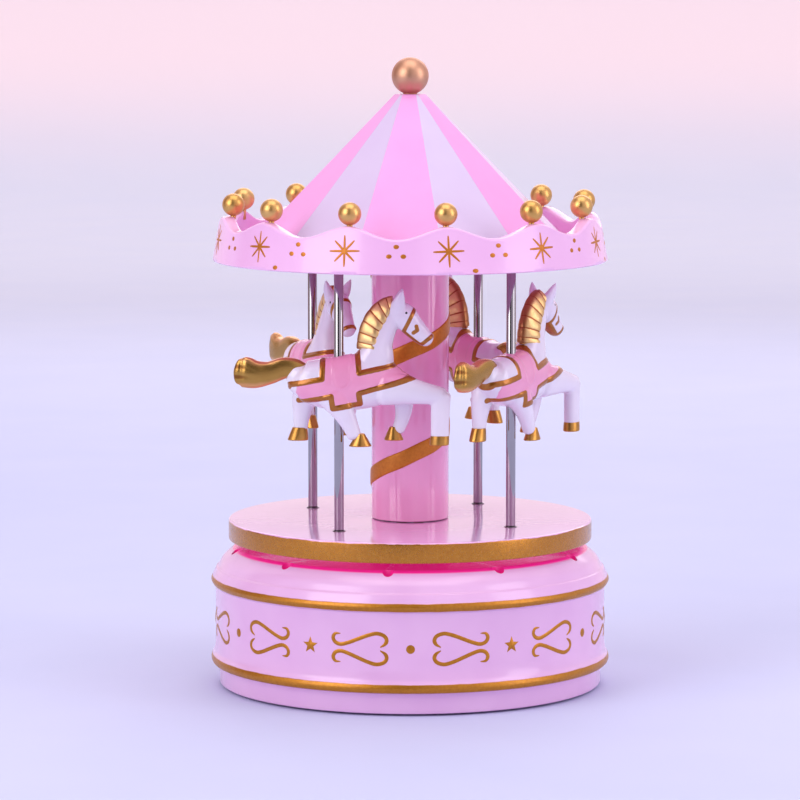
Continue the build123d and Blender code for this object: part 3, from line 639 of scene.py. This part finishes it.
# ---- canopy
def panel_ring(radius, half, fine):
    """A twelve-sided outline, fine points to a side: six pink sides reach half an angle each way
    of their middles, and the white sides fill in. Corners are softened a little."""
    middles = RIM_TURN + math.radians(15) + np.arange(6) * TAU / 6
    corners = (middles[:, None] + np.array([-half, half])).ravel()
    corner = radius * np.stack([np.cos(corners), np.sin(corners)], -1)
    t = np.linspace(0, 1, fine, endpoint=False)
    t = (0.5 - 0.5 * np.cos(t * math.pi))[None, :, None]
    ring = (corner[:, None] * (1 - t) + np.roll(corner, -1, axis=0)[:, None] * t).reshape(-1, 2)
    return 0.5 * ring + 0.25 * (np.roll(ring, 1, axis=0) + np.roll(ring, -1, axis=0))


def canopy_plastic():
    """Moulded plastic in two colours, pink where the mesh's panel number is positive, with a fine
    seam between them."""
    kit = Finish("canopy_plastic")
    wave = kit.field("panel")
    cloud = kit.noise(12.0, 2.0)
    ripple = kit.noise(1.8, 3.0)
    colour = kit.colour(wave.step(-0.02, 0.02), kit.colour(cloud, LILAC, rgb(214, 196, 228)),
                        kit.colour(cloud, CANDY, rgb(240, 156, 220)))
    seam = 1 - wave.absolute().step(0.0, 0.08)
    return kit.finish(Base_Color=colour, Roughness=ripple * 0.1 + 0.28, Coat_Weight=0.35,
                      Coat_Roughness=0.12, Normal=kit.bump(ripple * 0.6 - seam * 0.8, 0.05))


def build_cone():
    """Twelve flat panels: each point is a straight blend of the lower and upper outlines, so the
    ridges are straight. The underside is one straight sheet, a wall further in at the rim."""
    fine, wall, rise = 20, 2.4, CONE_TOP - CONE_LOW
    low_radius = CONE_TIP_RADIUS + rise / CONE_SLOPE
    low = panel_ring(1.0, math.radians(15), fine)
    high = panel_ring(1.0, math.radians(26), fine) * CONE_TIP_RADIUS

    def level(ring, height):
        return np.column_stack([ring, np.full(len(ring), height)])
    grid = [level(low * low_radius * (1 - t) + high * t, CONE_LOW + rise * t)
            for t in np.linspace(0, 0.993, 30)]
    grid += [level(high * share, CONE_TOP - drop) for share, drop in (
        (1 - 0.15 / CONE_TIP_RADIUS, 0.0), (0.55, 0.0), (0.34, 0.0), (0.34, 3.5), (0.6, 3.6))]
    grid.append(level(low * (low_radius - wall), CONE_LOW))
    cone = make_mesh("canopy_panels", np.vstack(grid),
                     [grid_faces(len(grid), len(low), ring_rows=True)], sharp=35)
    part = np.arange(len(low)) / fine
    store(cone.data, "panel", np.tile(np.sin(part * math.pi), len(grid)))
    place(cone, "carousel", canopy_plastic(), "canopy_plastic", "canopy_cone")


def build_skirt():
    """A flared ring whose top edge rises to a peak under each ball and hangs in a round scallop
    between them; the inside follows, with a flange under the cone."""
    turn = circle(480)
    swing = 0.5 - 0.5 * np.cos((turn - RIM_TURN) * RIM_SIDES)
    low, lip, seat = SKIRT_LOW, 0.8, CONE_LOW
    edge = SKIRT_HIGH - SCALLOP_DROP * swing ** 0.85 - lip
    heights = [low + (edge - low) * t for t in np.linspace(0.03, 1, 16)]
    rows = [(skirt_outer(z), z) for z in heights]
    for angle in np.linspace(0.15, math.pi - 0.15, 12):
        shift = lip if angle < math.pi / 2 else SKIRT_WALL - lip
        rows.append((skirt_outer(edge) - shift + lip * math.cos(angle),
                     edge + lip * math.sin(angle)))
    heights = [seat + (edge - seat) * t for t in np.linspace(1, 0, 8)]
    rows += [(skirt_outer(z) - SKIRT_WALL, z) for z in heights]
    inner = SKIRT_RADIUS - SKIRT_WALL
    rows += [(FLANGE_RADIUS, seat), (FLANGE_RADIUS, seat - 1.5), (inner - 0.9, seat - 1.5),
             (inner, low + 0.25), (inner + 0.3, low), (SKIRT_RADIUS - 0.35, low)]
    grid = np.vstack([polar(radius, turn, z) for radius, z in rows])
    skirt = make_mesh("canopy_valance", grid,
                      [grid_faces(len(rows), len(turn), ring_rows=True)], sharp=50)
    orchid = moulded("valance_plastic", rgb(250, 198, 238), rgb(242, 186, 232), rough=0.24)
    place(skirt, "carousel", orchid, "orchid_plastic", "canopy_skirt")


def on_skirt(across, up, out):
    """Wraps a flat pattern on the flared skirt: across is arc length from the front."""
    return polar(skirt_outer(up) + out - 0.04, across / SKIRT_PAINT_RADIUS - math.pi / 2, up)


def build_skirt_paint():
    """Gold paint on the skirt: an eight-rayed star under each ball, three dots between the stars,
    and a small dot on the lower edge at every second gap."""
    parts = []
    step = TAU / RIM_SIDES * SKIRT_PAINT_RADIUS
    disc = np.linspace(1, 0.03, 5)
    dome = 0.2 * np.sqrt(1 - 0.9 * disc ** 2)
    t = np.linspace(0.0, 1, 10)
    width = 0.38 - 0.06 * t - 0.14 * t ** 6
    for k in range(RIM_SIDES):
        middle = (RIM_TURN + math.pi / 2) * SKIRT_PAINT_RADIUS + k * step
        for ray in range(8):
            turn = ray * TAU / 8 + math.radians(1.5)
            reach = t * (4.3 if ray % 2 == 0 else 4.0)
            path = np.stack([middle + reach * math.cos(turn),
                             STAR_HEIGHT + reach * math.sin(turn)], -1)
            parts.append(stroke_mesh(path, width, 0.12, on_skirt, 6))
        for across, up in ((0, 130.0), (-1.95, 127.4), (1.95, 127.4)):
            parts.append(bead_on(on_skirt, middle + step / 2 + across, up, 1.02 * disc, dome, 0.8))
        if k % 2 == 1:
            parts.append(bead_on(on_skirt, middle + step * 0.25, 123.35, 1.1 * disc, dome, 0.72))
    paint = make_mesh("skirt_paint", *join_parts(parts), sharp=40)
    place(paint, "carousel", warm_paint(), "orchid_plastic")


def build_balls():
    """Twelve plated beads on short stubs round the rim, and the finial on its neck."""
    parts = []
    height = top_of("rim_balls") - BALL_RADIUS
    stub = [(0.7, height - 6), (0.7, height - 3.5), (0.9, height - 3.0)]
    for centre in polar(BALL_RING, RIM_TURN + circle(RIM_SIDES), height):
        parts += [ball_mesh(centre, BALL_RADIUS), post_mesh(centre, stub, 20)]
    gold = metal("plated_gold", rgb(236, 196, 132), rgb(204, 150, 62), 0.34, clouds=26.0,
                 depth=0.006)
    place(make_mesh("rim_beads", *join_parts(parts)), "carousel", gold, "gold_parts", "rim_balls")
    low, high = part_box("finial")
    radius = (high.x - low.x) / 2 / MM
    neck = [(1.4, CONE_TOP - 3), (1.4, CONE_TOP), (2.0, CONE_TOP + 0.05), (2.2, CONE_TOP + 0.9)]
    parts = [ball_mesh((0, 0, high.z / MM - radius), radius, 40, 64), post_mesh((0, 0), neck, 40)]
    rose_gold = metal("plated_rose_gold", rgb(226, 178, 146), rgb(204, 150, 116), 0.42,
                      clouds=8.0, depth=0.006)
    place(make_mesh("finial_bead", *join_parts(parts), sharp=50), "carousel", rose_gold,
          "rose_gold_parts", "finial")


# ---- horses
def limb(stations, cols=36, steps=10, square=2.3):
    """A closed tube through stations (forward, side, up, half width, half depth). Its section is a
    superellipse; between stations it follows a Catmull-Rom curve, and both ends round off."""
    line = smooth_line(stations, steps)
    bend = np.linspace(0.15, math.pi / 2, 7)[:-1, None]
    path, half = line[:, :3], line[:, 3:]
    along = np.gradient(path, axis=0)
    along /= np.linalg.norm(along, axis=1)[:, None]

    def end(i, sign):
        """Rings past one end, from its tip inwards: a quarter turn of an ellipse."""
        out = np.cos(bend) * half[i].mean() * 0.75
        return (path[i] + sign * along[i] * out, half[i] * np.sin(bend),
                np.repeat(along[i][None], len(bend), 0))
    low, high = end(0, -1), end(-1, 1)
    path, half, along = (np.vstack([a, b, c[::-1]]) for a, b, c in
                         zip(low, (path, half, along), high))
    side = np.array([0, 1.0, 0]) - along * along[:, 1:2]
    side /= np.linalg.norm(side, axis=1)[:, None]
    up = np.cross(along, side)
    c, s = squared(circle(cols), 2 / square)
    return tube_mesh(path[:, None] + side[:, None] * (half[:, :1] * c)[..., None]
                     + up[:, None] * (half[:, 1:2] * s)[..., None])


BODY_LIMBS = [
    # trunk from the croup to the breast
    [(-12.3, 0, 92.3, 2.6, 3.2), (-10.6, 0, 91.3, 4.6, 5.0), (-6.5, 0, 90.2, 5.6, 6.6),
     (-1.5, 0, 89.7, 5.8, 7.4), (4, 0, 90.0, 5.7, 7.8), (9.5, 0, 90.0, 5.4, 7.0),
     (14.2, 0, 89.6, 4.8, 5.6), (17.2, 0, 89.0, 3.6, 4.0)],
    # neck
    [(8.0, 0, 91.5, 4.6, 6.2), (10.2, 0, 96.5, 4.1, 5.4), (11.6, 0, 101.5, 3.4, 3.7),
     (13.4, 0, 106.0, 2.9, 3.1), (15.4, 0, 110.2, 2.6, 2.6)],
    # head
    [(15.4, 0, 110.6, 2.9, 2.9), (18.2, 0, 108.7, 3.3, 3.6), (20.4, 0, 106.2, 2.8, 3.2),
     (22.8, 0, 103.7, 2.3, 2.7), (24.7, 0, 102.1, 2.05, 2.2)],
    # raised foreleg, right side: forearm, then cannon straight down
    [(13.0, -2.8, 88.6, 3.2, 4.8), (19.5, -3.1, 88.0, 2.6, 3.9), (25.0, -3.2, 87.1, 2.3, 3.0),
     (28.6, -3.2, 86.5, 2.2, 2.5)],
    [(28.6, -3.2, 86.4, 2.1, 2.8), (28.4, -3.2, 83.0, 2.05, 2.7), (28.3, -3.2, 78.5, 2.0, 2.6),
     (28.3, -3.2, 75.4, 2.0, 2.6)],
    # bent foreleg, left side
    [(17.2, 2.9, 87.6, 2.8, 3.6), (18.2, 3.5, 83.4, 2.3, 2.7), (17.8, 3.7, 79.6, 1.9, 2.1),
     (16.7, 3.8, 76.4, 1.6, 1.8)],
    # hind leg that reaches forward, right side
    [(-1.5, -2.8, 86.6, 3.2, 4.6), (1.2, -3.3, 82.2, 2.6, 3.2), (3.0, -3.4, 78.6, 2.0, 2.4),
     (4.3, -3.4, 75.6, 1.7, 2.0)],
    # hind leg that stands back, left side
    [(-8.0, 3.0, 88.6, 3.4, 5.0), (-9.8, 3.6, 84.4, 2.7, 3.5), (-10.5, 3.8, 80.4, 2.1, 2.5),
     (-10.8, 3.8, 77.0, 1.8, 2.0)],
]
# hooves: middle of the top, middle of the sole, then half width and half length of each
HOOVES = [
    ((28.3, -3.2, 75.4), (28.1, -3.2, 72.7), (2.0, 2.5), (2.15, 2.6)),
    ((15.3, 3.8, 77.1), (15.4, 3.8, 73.3), (1.3, 1.0), (2.0, 2.7)),
    ((6.2, -3.4, 76.0), (6.0, -3.4, 72.4), (1.3, 0.9), (2.05, 3.15)),
    ((-11.0, 3.8, 77.0), (-11.6, 3.8, 73.3), (1.85, 1.95), (2.1, 2.85)),
]
# painted lines on the horse's flank, as (forward, up) corners
TRIM = [
    [(-14.3, 88.6), (-13.6, 89.7), (-4.6, 91.5), (-4.4, 98.5)],
    [(5.2, 98.9), (5.7, 93.1), (15.6, 95.1), (19.5, 96.3)],
    [(-11.2, 84.9), (-2.1, 86.6), (-1.6, 83.2), (6.0, 84.5), (5.6, 87.5), (17.0, 90.6),
     (21.8, 92.2)],
]
BRIDLE = [
    [(21.2, 110.6), (18.1, 104.4), (22.8, 100.6), (26.6, 103.6)],
    [(20.9, 104.2), (22.0, 104.9), (21.7, 106.0)],
]
FLAP = [[(-1.7, 97.6), (-1.6, 91.2), (-0.9, 89.4), (0.7, 88.7), (2.4, 89.4), (3.2, 91.2),
         (3.4, 97.8)]]
PINK_CLOTH = [
    [(-3.7, 104), (-3.7, 88.0), (-1.9, 87.6), (-1.4, 84.0), (5.8, 85.2), (4.9, 88.0),
     (4.7, 104)],
    [(-11.8, 87.6), (-11.4, 90.0), (-4.6, 91.4), (5.6, 93.2), (15.6, 95.1), (20.5, 96.0),
     (21.8, 92.2), (17.0, 90.6), (5.4, 87.4), (-2.1, 86.4), (-9.6, 84.9), (-11.0, 86.0)],
]


def line_distance(points, lines):
    """Distance from each (forward, up) point to the nearest of the broken lines."""
    best = np.full(len(points), 99.0)
    for line in lines:
        p = np.asarray(line, float)
        for a, b in zip(p[:-1], p[1:]):
            span = b - a
            t = np.clip(((points - a) @ span) / (span @ span), 0, 1)[:, None]
            best = np.minimum(best, np.linalg.norm(points - a - t * span, axis=1))
    return best


def inside_depth(points, outlines):
    """Signed distance to the union of closed outlines, positive inside."""
    best = np.full(len(points), -99.0)
    for outline in outlines:
        p = np.asarray(outline, float)
        edge = line_distance(points, [np.vstack([p, p[:1]])])
        a, b = p, np.roll(p, -1, axis=0)
        x, y = points[:, :1], points[:, 1:]
        crosses = (a[:, 1] > y) != (b[:, 1] > y)
        slope = (b[:, 0] - a[:, 0]) / np.where(b[:, 1] == a[:, 1], 1e-9, b[:, 1] - a[:, 1])
        inside = np.sum(crosses & (x < a[:, 0] + slope * (y - a[:, 1])), axis=1) % 2 == 1
        best = np.maximum(best, np.where(inside, edge, -edge))
    return best


def store(mesh, name, values):
    """Keeps one number for each vertex on the mesh."""
    mesh.attributes.new(name, "FLOAT", "POINT").data.foreach_set(
        "value", np.asarray(values, np.float32))


def welded(name, parts, size, smooth):
    """One skin round overlapping closed parts: voxel remesh, then smoothing, both applied."""
    points, faces = join_parts(parts)
    obj = make_mesh(name, points, faces)
    weld = obj.modifiers.new("weld", "REMESH")
    weld.mode = "VOXEL"
    weld.voxel_size = size * MM
    weld.use_smooth_shade = True
    soften = obj.modifiers.new("soften", "SMOOTH")
    soften.factor = 0.5
    soften.iterations = smooth
    mesh = applied(obj)
    bpy.data.objects.remove(obj)
    return mesh


def vertex_vectors(mesh, kind):
    """The vertices' co or normal vectors as an (n, 3) array."""
    out = np.empty(len(mesh.vertices) * 3, np.float32)
    mesh.vertices.foreach_get(kind, out)
    return out.reshape(-1, 3).astype(float)


def horse_skin():
    """The moulded horse: limbs, ears and eye sockets welded into one skin, raised slightly under
    the painted cloth and lines. Distances to the painted lines are stored for the material."""
    parts = [limb(s) for s in BODY_LIMBS]
    for side in (-1, 1):
        ear = [(15.9, side * 1.8, 110.4, 1.5, 2.1), (16.8, side * 2.7, 112.6, 1.35, 1.9),
               (17.3, side * 3.4, 114.5, 0.85, 1.15), (17.9, side * 4.0, 116.2, 0.2, 0.25)]
        parts += [limb(ear, cols=24, steps=6, square=2.0),
                  ball_mesh((18.6, side * 2.35, 109.6), 0.9, 10, 16),
                  ball_mesh((25.4, side * 1.3, 102.6), 0.75, 10, 16)]
    mesh = welded("horse_skin", parts, 0.33, 6)
    p = vertex_vectors(mesh, "co") / MM
    flank = p[:, [0, 2]]
    body = (p[:, 0] < 22.5) & (p[:, 2] < 100.5)
    head = (p[:, 0] > 16.8) & (p[:, 2] > 98)
    side = np.where(p[:, 1:2] > 0, 1, -1)
    fields = {
        "trim": np.where(body, line_distance(flank, TRIM), 99.0),
        "bridle": np.where(head, line_distance(flank, BRIDLE), 99.0),
        "cloth": np.where(body, inside_depth(flank, PINK_CLOTH), -9.0),
        "eye": np.linalg.norm(p - side * [0, 3.1, 0] - [18.9, 0, 109.8], axis=1),
    }
    for name, values in fields.items():
        store(mesh, name, values)
    flap = np.where(body, line_distance(flank, FLAP), 99.0)
    raised = (0.24 * np.clip(1.8 - fields["trim"] / 0.5, 0, 1)
              + 0.2 * np.clip(0.5 + fields["cloth"] / 0.5, 0, 1)
              + 0.12 * np.clip(1.6 - fields["bridle"] / 0.4, 0, 1)
              + 0.14 * np.clip(1.5 - flap / 0.3, 0, 1))
    return mesh, p + vertex_vectors(mesh, "normal") * raised[:, None]


def mane_parts():
    """The mane is a crest along the neck: across it, a flat-sided loop from the neck to the edge;
    along it, seven flutes swell and pinch the sides and scallop the edge."""
    outer = smooth_line([(4.9, 99.6), (5.1, 102.0), (5.8, 105.4), (7.5, 109.2), (10.0, 112.2),
                         (12.8, 113.9), (15.0, 114.4)], 20)
    inner = smooth_line([(11.6, 98.4), (11.4, 100.8), (11.7, 103.0), (12.6, 105.0), (13.7, 107.0),
                         (14.5, 109.4), (15.2, 111.8)], 20)
    s = np.linspace(0, 1, len(outer))
    flute = np.abs(np.sin(s * math.pi * 7.0)) ** 0.7
    c, _ = squared(circle(48), 0.8)
    _, side = squared(circle(48), 0.4)
    span = outer - inner
    reach = 0.53 + 0.47 * c * (0.96 + 0.04 * flute[:, None])
    close = np.clip(np.minimum(s, 1 - s) * 22, 0.45, 1)[:, None]
    broad = (4.6 - 1.2 * s)[:, None]
    half = (1.2 + (broad - 1.2) * (1 - reach) ** 0.8) * (0.93 + 0.07 * flute[:, None]) * close
    flat = inner[:, None] + span[:, None] * reach[..., None]
    rings = np.stack([flat[..., 0], half * side, flat[..., 1]], -1)
    points, faces = tube_mesh(rings[:, ::-1])
    # 1 in the creases between flutes, where painted shade goes
    groove_shade = np.concatenate([np.repeat(1 - flute[:, None], 48, 1)[:, ::-1].ravel(), [0, 0]])
    edge = np.concatenate([np.clip((reach[:, ::-1] - 0.86) / 0.1, 0, 1).ravel(), [0, 0]])
    return points, faces, groove_shade, edge


def tail_parts():
    """The tail sweeps back in an S: a flattened tube that widens to a fan, with strands that
    deepen towards the tip."""
    stations = [(-9.6, 0, 93.6, 1.5, 1.8), (-12.2, 0, 94.0, 1.9, 2.7), (-15.6, 0, 94.0, 2.0, 3.0),
                (-19.4, 0, 92.7, 2.1, 3.2), (-23.2, 0, 92.3, 2.2, 3.9), (-26.2, 0, 92.9, 1.9, 4.3),
                (-27.6, 0, 93.1, 1.2, 3.7)]
    points, faces = limb(stations, cols=72, steps=12, square=2.7)
    ahead = np.clip((-points[:, 0] - 22) / 6, 0, 1)
    up = points[:, 2] - np.interp(-points[:, 0], [9.6, 12.2, 15.6, 19.4, 23.2, 26.2, 28.1],
                                  [93.6, 94.2, 94.0, 92.7, 92.3, 92.9, 93.1])
    strand = 0.5 + 0.5 * np.cos(up * 2.4 / (0.6 + 0.5 * ahead))
    points[:, 1] *= 1 - 0.06 * ahead * (1 - strand)
    points[:, 0] -= ahead ** 3 * (strand - 0.5) * 0.06
    # rim marks the tail's top and bottom edges for a painted highlight; the strands' grooves get
    # painted shade
    rim = np.clip((np.abs(up) - 2.0 - 0.9 * ahead) / 0.8, 0, 1)
    return points, faces, 0.75 * (1 - strand) * ahead, rim


def hoof_parts():
    """Each hoof is a wedge: an ellipse at the coronet that widens to a flat sole."""
    t = np.array([0.0, 0.02, 0.5, 0.93, 1.0])[:, None]
    grow = np.array([-0.25, 0.0, 0.03, 0.0, -0.18])[:, None] + 0.12
    turn = circle(32)
    parts = []
    for top, sole, small, large in HOOVES:
        middle = top + np.subtract(sole, top) * t
        across, length = (small[i] + (large[i] - small[i]) * t + grow for i in (0, 1))
        rings = np.stack([middle[:, :1] + length * np.cos(turn),
                          middle[:, 1:2] + across * np.sin(turn), middle[:, 2:] + 0 * turn], -1)
        parts.append(tube_mesh(rings[::-1]))
    return join_parts(parts)


def horse_paint():
    """Glazed white with pink cloth and gold lines, read from distances stored on the mesh; the
    edges of the paint wander a little, as by hand."""
    kit = Finish("horse_glaze")
    wander = (kit.noise(1.6, 2.0) - 0.5) * 0.22
    streak = kit.noise(0.8, 4.0, 0.7)
    line = 1 - (kit.field("trim") + wander).step(0.72, 0.86)
    strap = 1 - (kit.field("bridle") + wander * 0.6).step(0.5, 0.62)
    gold = line.maths("MAXIMUM", strap)
    cloth = (kit.field("cloth") + wander).step(-0.16, -0.04)
    eye = 1 - kit.field("eye").step(0.32, 0.42)
    cloud = kit.noise(7.0, 2.0)
    white = kit.colour(cloud, HORSE_WHITE, rgb(230, 222, 238))
    pink = kit.colour(cloud, rgb(248, 172, 204), rgb(238, 152, 190))
    colour = kit.colour(cloth, white, pink)
    colour = kit.colour(gold, colour, kit.colour(streak, TRIM_GOLD, TRIM_DARK))
    colour = kit.colour(eye, colour, rgb(30, 24, 30))
    rough = gold * 0.12 + (kit.noise(1.5) * 0.08 + 0.16)
    return kit.finish(Base_Color=colour, Metallic=gold * 0.7, Roughness=rough, Coat_Weight=0.6,
                      Coat_Roughness=0.06, Normal=kit.bump(streak * 0.3 + gold, 0.03))


def tail_gold():
    """Gold paint of the tails: an olive face, with painted shade darker in the grooves near the
    tip, and a painted highlight on the brighter rim."""
    kit = Finish("tail_gold_paint")
    drift = kit.noise(5.0, 2.0)
    face = kit.colour(drift, rgb(190, 150, 78), rgb(172, 130, 60))
    # painted highlight: the tail's rim is brighter
    rim = kit.colour(drift, rgb(236, 184, 122), rgb(214, 146, 88))
    # painted shade: darker in the grooves
    shade = kit.colour(kit.field("groove_shade").step(0.3, 0.7), face, rgb(132, 84, 34))
    return kit.finish(Base_Color=kit.colour(kit.field("edge"), shade, rim), Metallic=0.8,
                      Roughness=kit.noise(1.0) * 0.1 + 0.2, Normal=kit.bump(drift, 0.01))


def fluted_gold():
    """Gold paint of the manes, darker and redder in the flutes, where shade is painted, and on the
    crest.
    """
    kit = Finish("fluted_gold_paint")
    # painted shade in the flutes; the crest is darker too
    shade = kit.field("groove_shade").step(0.45, 0.85).maths("MAXIMUM", kit.field("edge") * 0.8)
    drift = kit.noise(2.0, 3.0)
    light = kit.colour(drift, rgb(238, 206, 146), rgb(220, 176, 104))
    return kit.finish(Base_Color=kit.colour(shade, light, rgb(150, 70, 26)), Metallic=0.6,
                      Roughness=drift * 0.15 + 0.24, Normal=kit.bump(drift, 0.03))


def build_horses():
    """One horse is shaped once and set on each pole at the heading that its CAD horse has."""
    skin, skin_points = horse_skin()
    glaze = horse_paint()
    hoof_gold = metal("hoof_gold", rgb(214, 164, 88), rgb(176, 120, 52), 0.32, clouds=2.5)
    added = (("mane", mane_parts(), fluted_gold(), None), ("tail", tail_parts(), tail_gold(), None),
             ("hooves", hoof_parts(), hoof_gold, 35))
    for k, heading in enumerate(HORSE_HEADINGS, start=1):
        x, y = pole_spot(k)
        c, s = math.cos(math.radians(heading)), math.sin(math.radians(heading))
        turned = np.array([[c, s, 0], [-s, c, 0], [0, 0, 1]])
        body = new_object(f"horse_body_{k}", skin.copy())
        write_points(body.data, skin_points @ turned + [x, y, 0])
        body.data.update()
        place(body, f"rider_{k}", glaze, "horse_plastic", f"horse_{k}")
        for name, (points, faces, *fields), finish, sharp in added:
            piece = make_mesh(f"horse_{name}_{k}", points @ turned + [x, y, 0], faces, sharp)
            for field, values in zip(("groove_shade", "edge"), fields):
                store(piece.data, field, values)
            place(piece, f"rider_{k}", finish, "horse_plastic")


# ---- movement and underside: CAD shapes with their own finishes
def finish_movement():
    """Every CAD node that stays gets the finish of its material slot."""
    finishes = {
        "pink_cover_plastic": matt("cover_plastic", rgb(226, 168, 212), rgb(214, 152, 200)),
        "foot_rubber": matt("foot_rubber", rgb(226, 222, 226), rgb(206, 202, 208), 0.8, 0.05, 0.4),
        "zinc_screws": metal("zinc_plate", rgb(196, 198, 204), rgb(160, 164, 172), 0.32),
        "movement_steel": metal("pressed_steel", rgb(188, 188, 192), rgb(160, 160, 166), 0.36, 0.1),
        "comb_steel": metal("ground_steel", rgb(170, 172, 178), rgb(134, 136, 144), 0.28, 0.15),
        "brass_parts": metal("turned_brass", rgb(222, 184, 104), rgb(190, 148, 70), 0.24, 0.08),
        "nylon": matt("nylon", rgb(240, 238, 228), rgb(226, 222, 208), 0.45),
        "column_plastic": matt("ceiling_plastic", ROSE, rgb(228, 120, 188), 0.4),
        "nickel_parts": metal("nickel_plate", rgb(214, 208, 198), rgb(186, 180, 170), 0.2, 0.06),
    }
    for row in frame["record"]["subparts"]:
        finish = finishes.get(row["material_slot"])
        if finish is not None and row["node"] != "column":
            node = frame["nodes"][row["node"]]
            node.data.materials.clear()
            node.data.materials.append(finish)


# ---- stage
def softbox(name, where, size, power, colour):
    """A rectangular light that faces the middle of the object."""
    lamp = bpy.data.lights.new(name, "AREA")
    lamp.shape = "RECTANGLE"
    lamp.size, lamp.size_y = size
    lamp.energy = power
    lamp.color = colour
    obj = new_object(name, lamp)
    obj.location = where
    obj.rotation_euler = (Vector((0, 0, 0.09)) - Vector(where)).to_track_quat("-Z", "Y").to_euler()


def build_room():
    """The studio round the object: pale, with a dark band and a warm band for metal to mirror."""
    world = bpy.data.worlds.new("studio")
    kit = Finish("studio", world, "Background")
    side, ahead, _ = kit.split(kit.node("ShaderNodeTexCoord", {}, out="Generated"))
    turn = side.maths("ARCTAN2", 0 - ahead)
    dark = turn.step(-0.62, -0.5) * (1 - turn.step(0.05, 0.16))
    warm = turn.step(-2.2, -2.05) * (1 - turn.step(-1.75, -1.6))
    room = kit.colour(warm, rgb(240, 228, 245), rgb(150, 96, 84))
    kit.finish(Color=kit.colour(dark, room, rgb(34, 28, 32)), Strength=0.9)
    bpy.context.scene.world = world


def floor_paper():
    """Matt paper, tinted by height and faintly lit from behind where it is far away."""
    kit = Finish("floor_paper")
    _, ahead, height = kit.place()
    paper = kit.colour(kit.noise(60.0, 2.0), rgb(208, 214, 240), rgb(200, 208, 236))
    rise = kit.colour(height.step(300.0, 900.0), rgb(252, 226, 238), rgb(236, 222, 242))
    painted_glow = kit.colour(ahead.step(250.0, 1700.0), BLACK, rgb(236, 230, 216))
    return kit.finish(Base_Color=kit.colour(height.step(2.0, 120.0), paper, rise), Roughness=0.8,
                      Emission_Color=painted_glow, Emission_Strength=0.36)


def build_stage():
    """Camera, soft lights, and a sheet of paper: flat, then a quarter circle, then straight up."""
    scene = bpy.context.scene
    camera = new_object("camera", bpy.data.cameras.new("camera"))
    camera.location = (-0.0029, -1.191, 0.2158)
    camera.rotation_euler = (math.radians(90) - 0.112, 0, 0)
    camera.data.lens = 187.9
    camera.data.sensor_width = 36
    camera.data.clip_start = 0.01
    scene.camera = camera
    scene.view_settings.view_transform = "Standard"
    softbox("left_softbox", (-0.75, -0.7, 0.55), (0.7, 0.8), 5.0, (1.0, 0.97, 1.0))
    softbox("right_softbox", (0.85, -0.35, 0.4), (0.4, 0.8), 2.2, (1.0, 0.95, 0.99))
    softbox("top_softbox", (0.0, -0.1, 0.95), (0.8, 0.8), 2.8, (1.0, 0.98, 1.0))
    softbox("back_softbox", (0.1, 0.9, 0.6), (0.9, 0.5), 2.0, (1.0, 0.95, 1.0))
    build_room()
    reach, start, bend = 3000, 2000, 600
    turn = np.linspace(0.2, 1.57, 8)
    deep = np.concatenate([np.linspace(-reach, start, 6), start + bend * np.sin(turn),
                           [start + bend] * 2])
    lift = np.concatenate([np.zeros(6), bend - bend * np.cos(turn), [1500, reach]])
    x, y = np.meshgrid(np.linspace(-reach, reach, 3), deep)
    points = np.stack([x, y, np.repeat(lift[:, None], 3, 1)], -1).reshape(-1, 3)
    floor = make_mesh("floor", points, [grid_faces(len(deep), 3, ring_cols=False)])
    floor.data.materials.append(floor_paper())


build_stage()
build_base()
build_frieze()
build_table()
build_column()
build_poles()
build_cone()
build_skirt()
build_skirt_paint()
build_balls()
build_horses()
finish_movement()
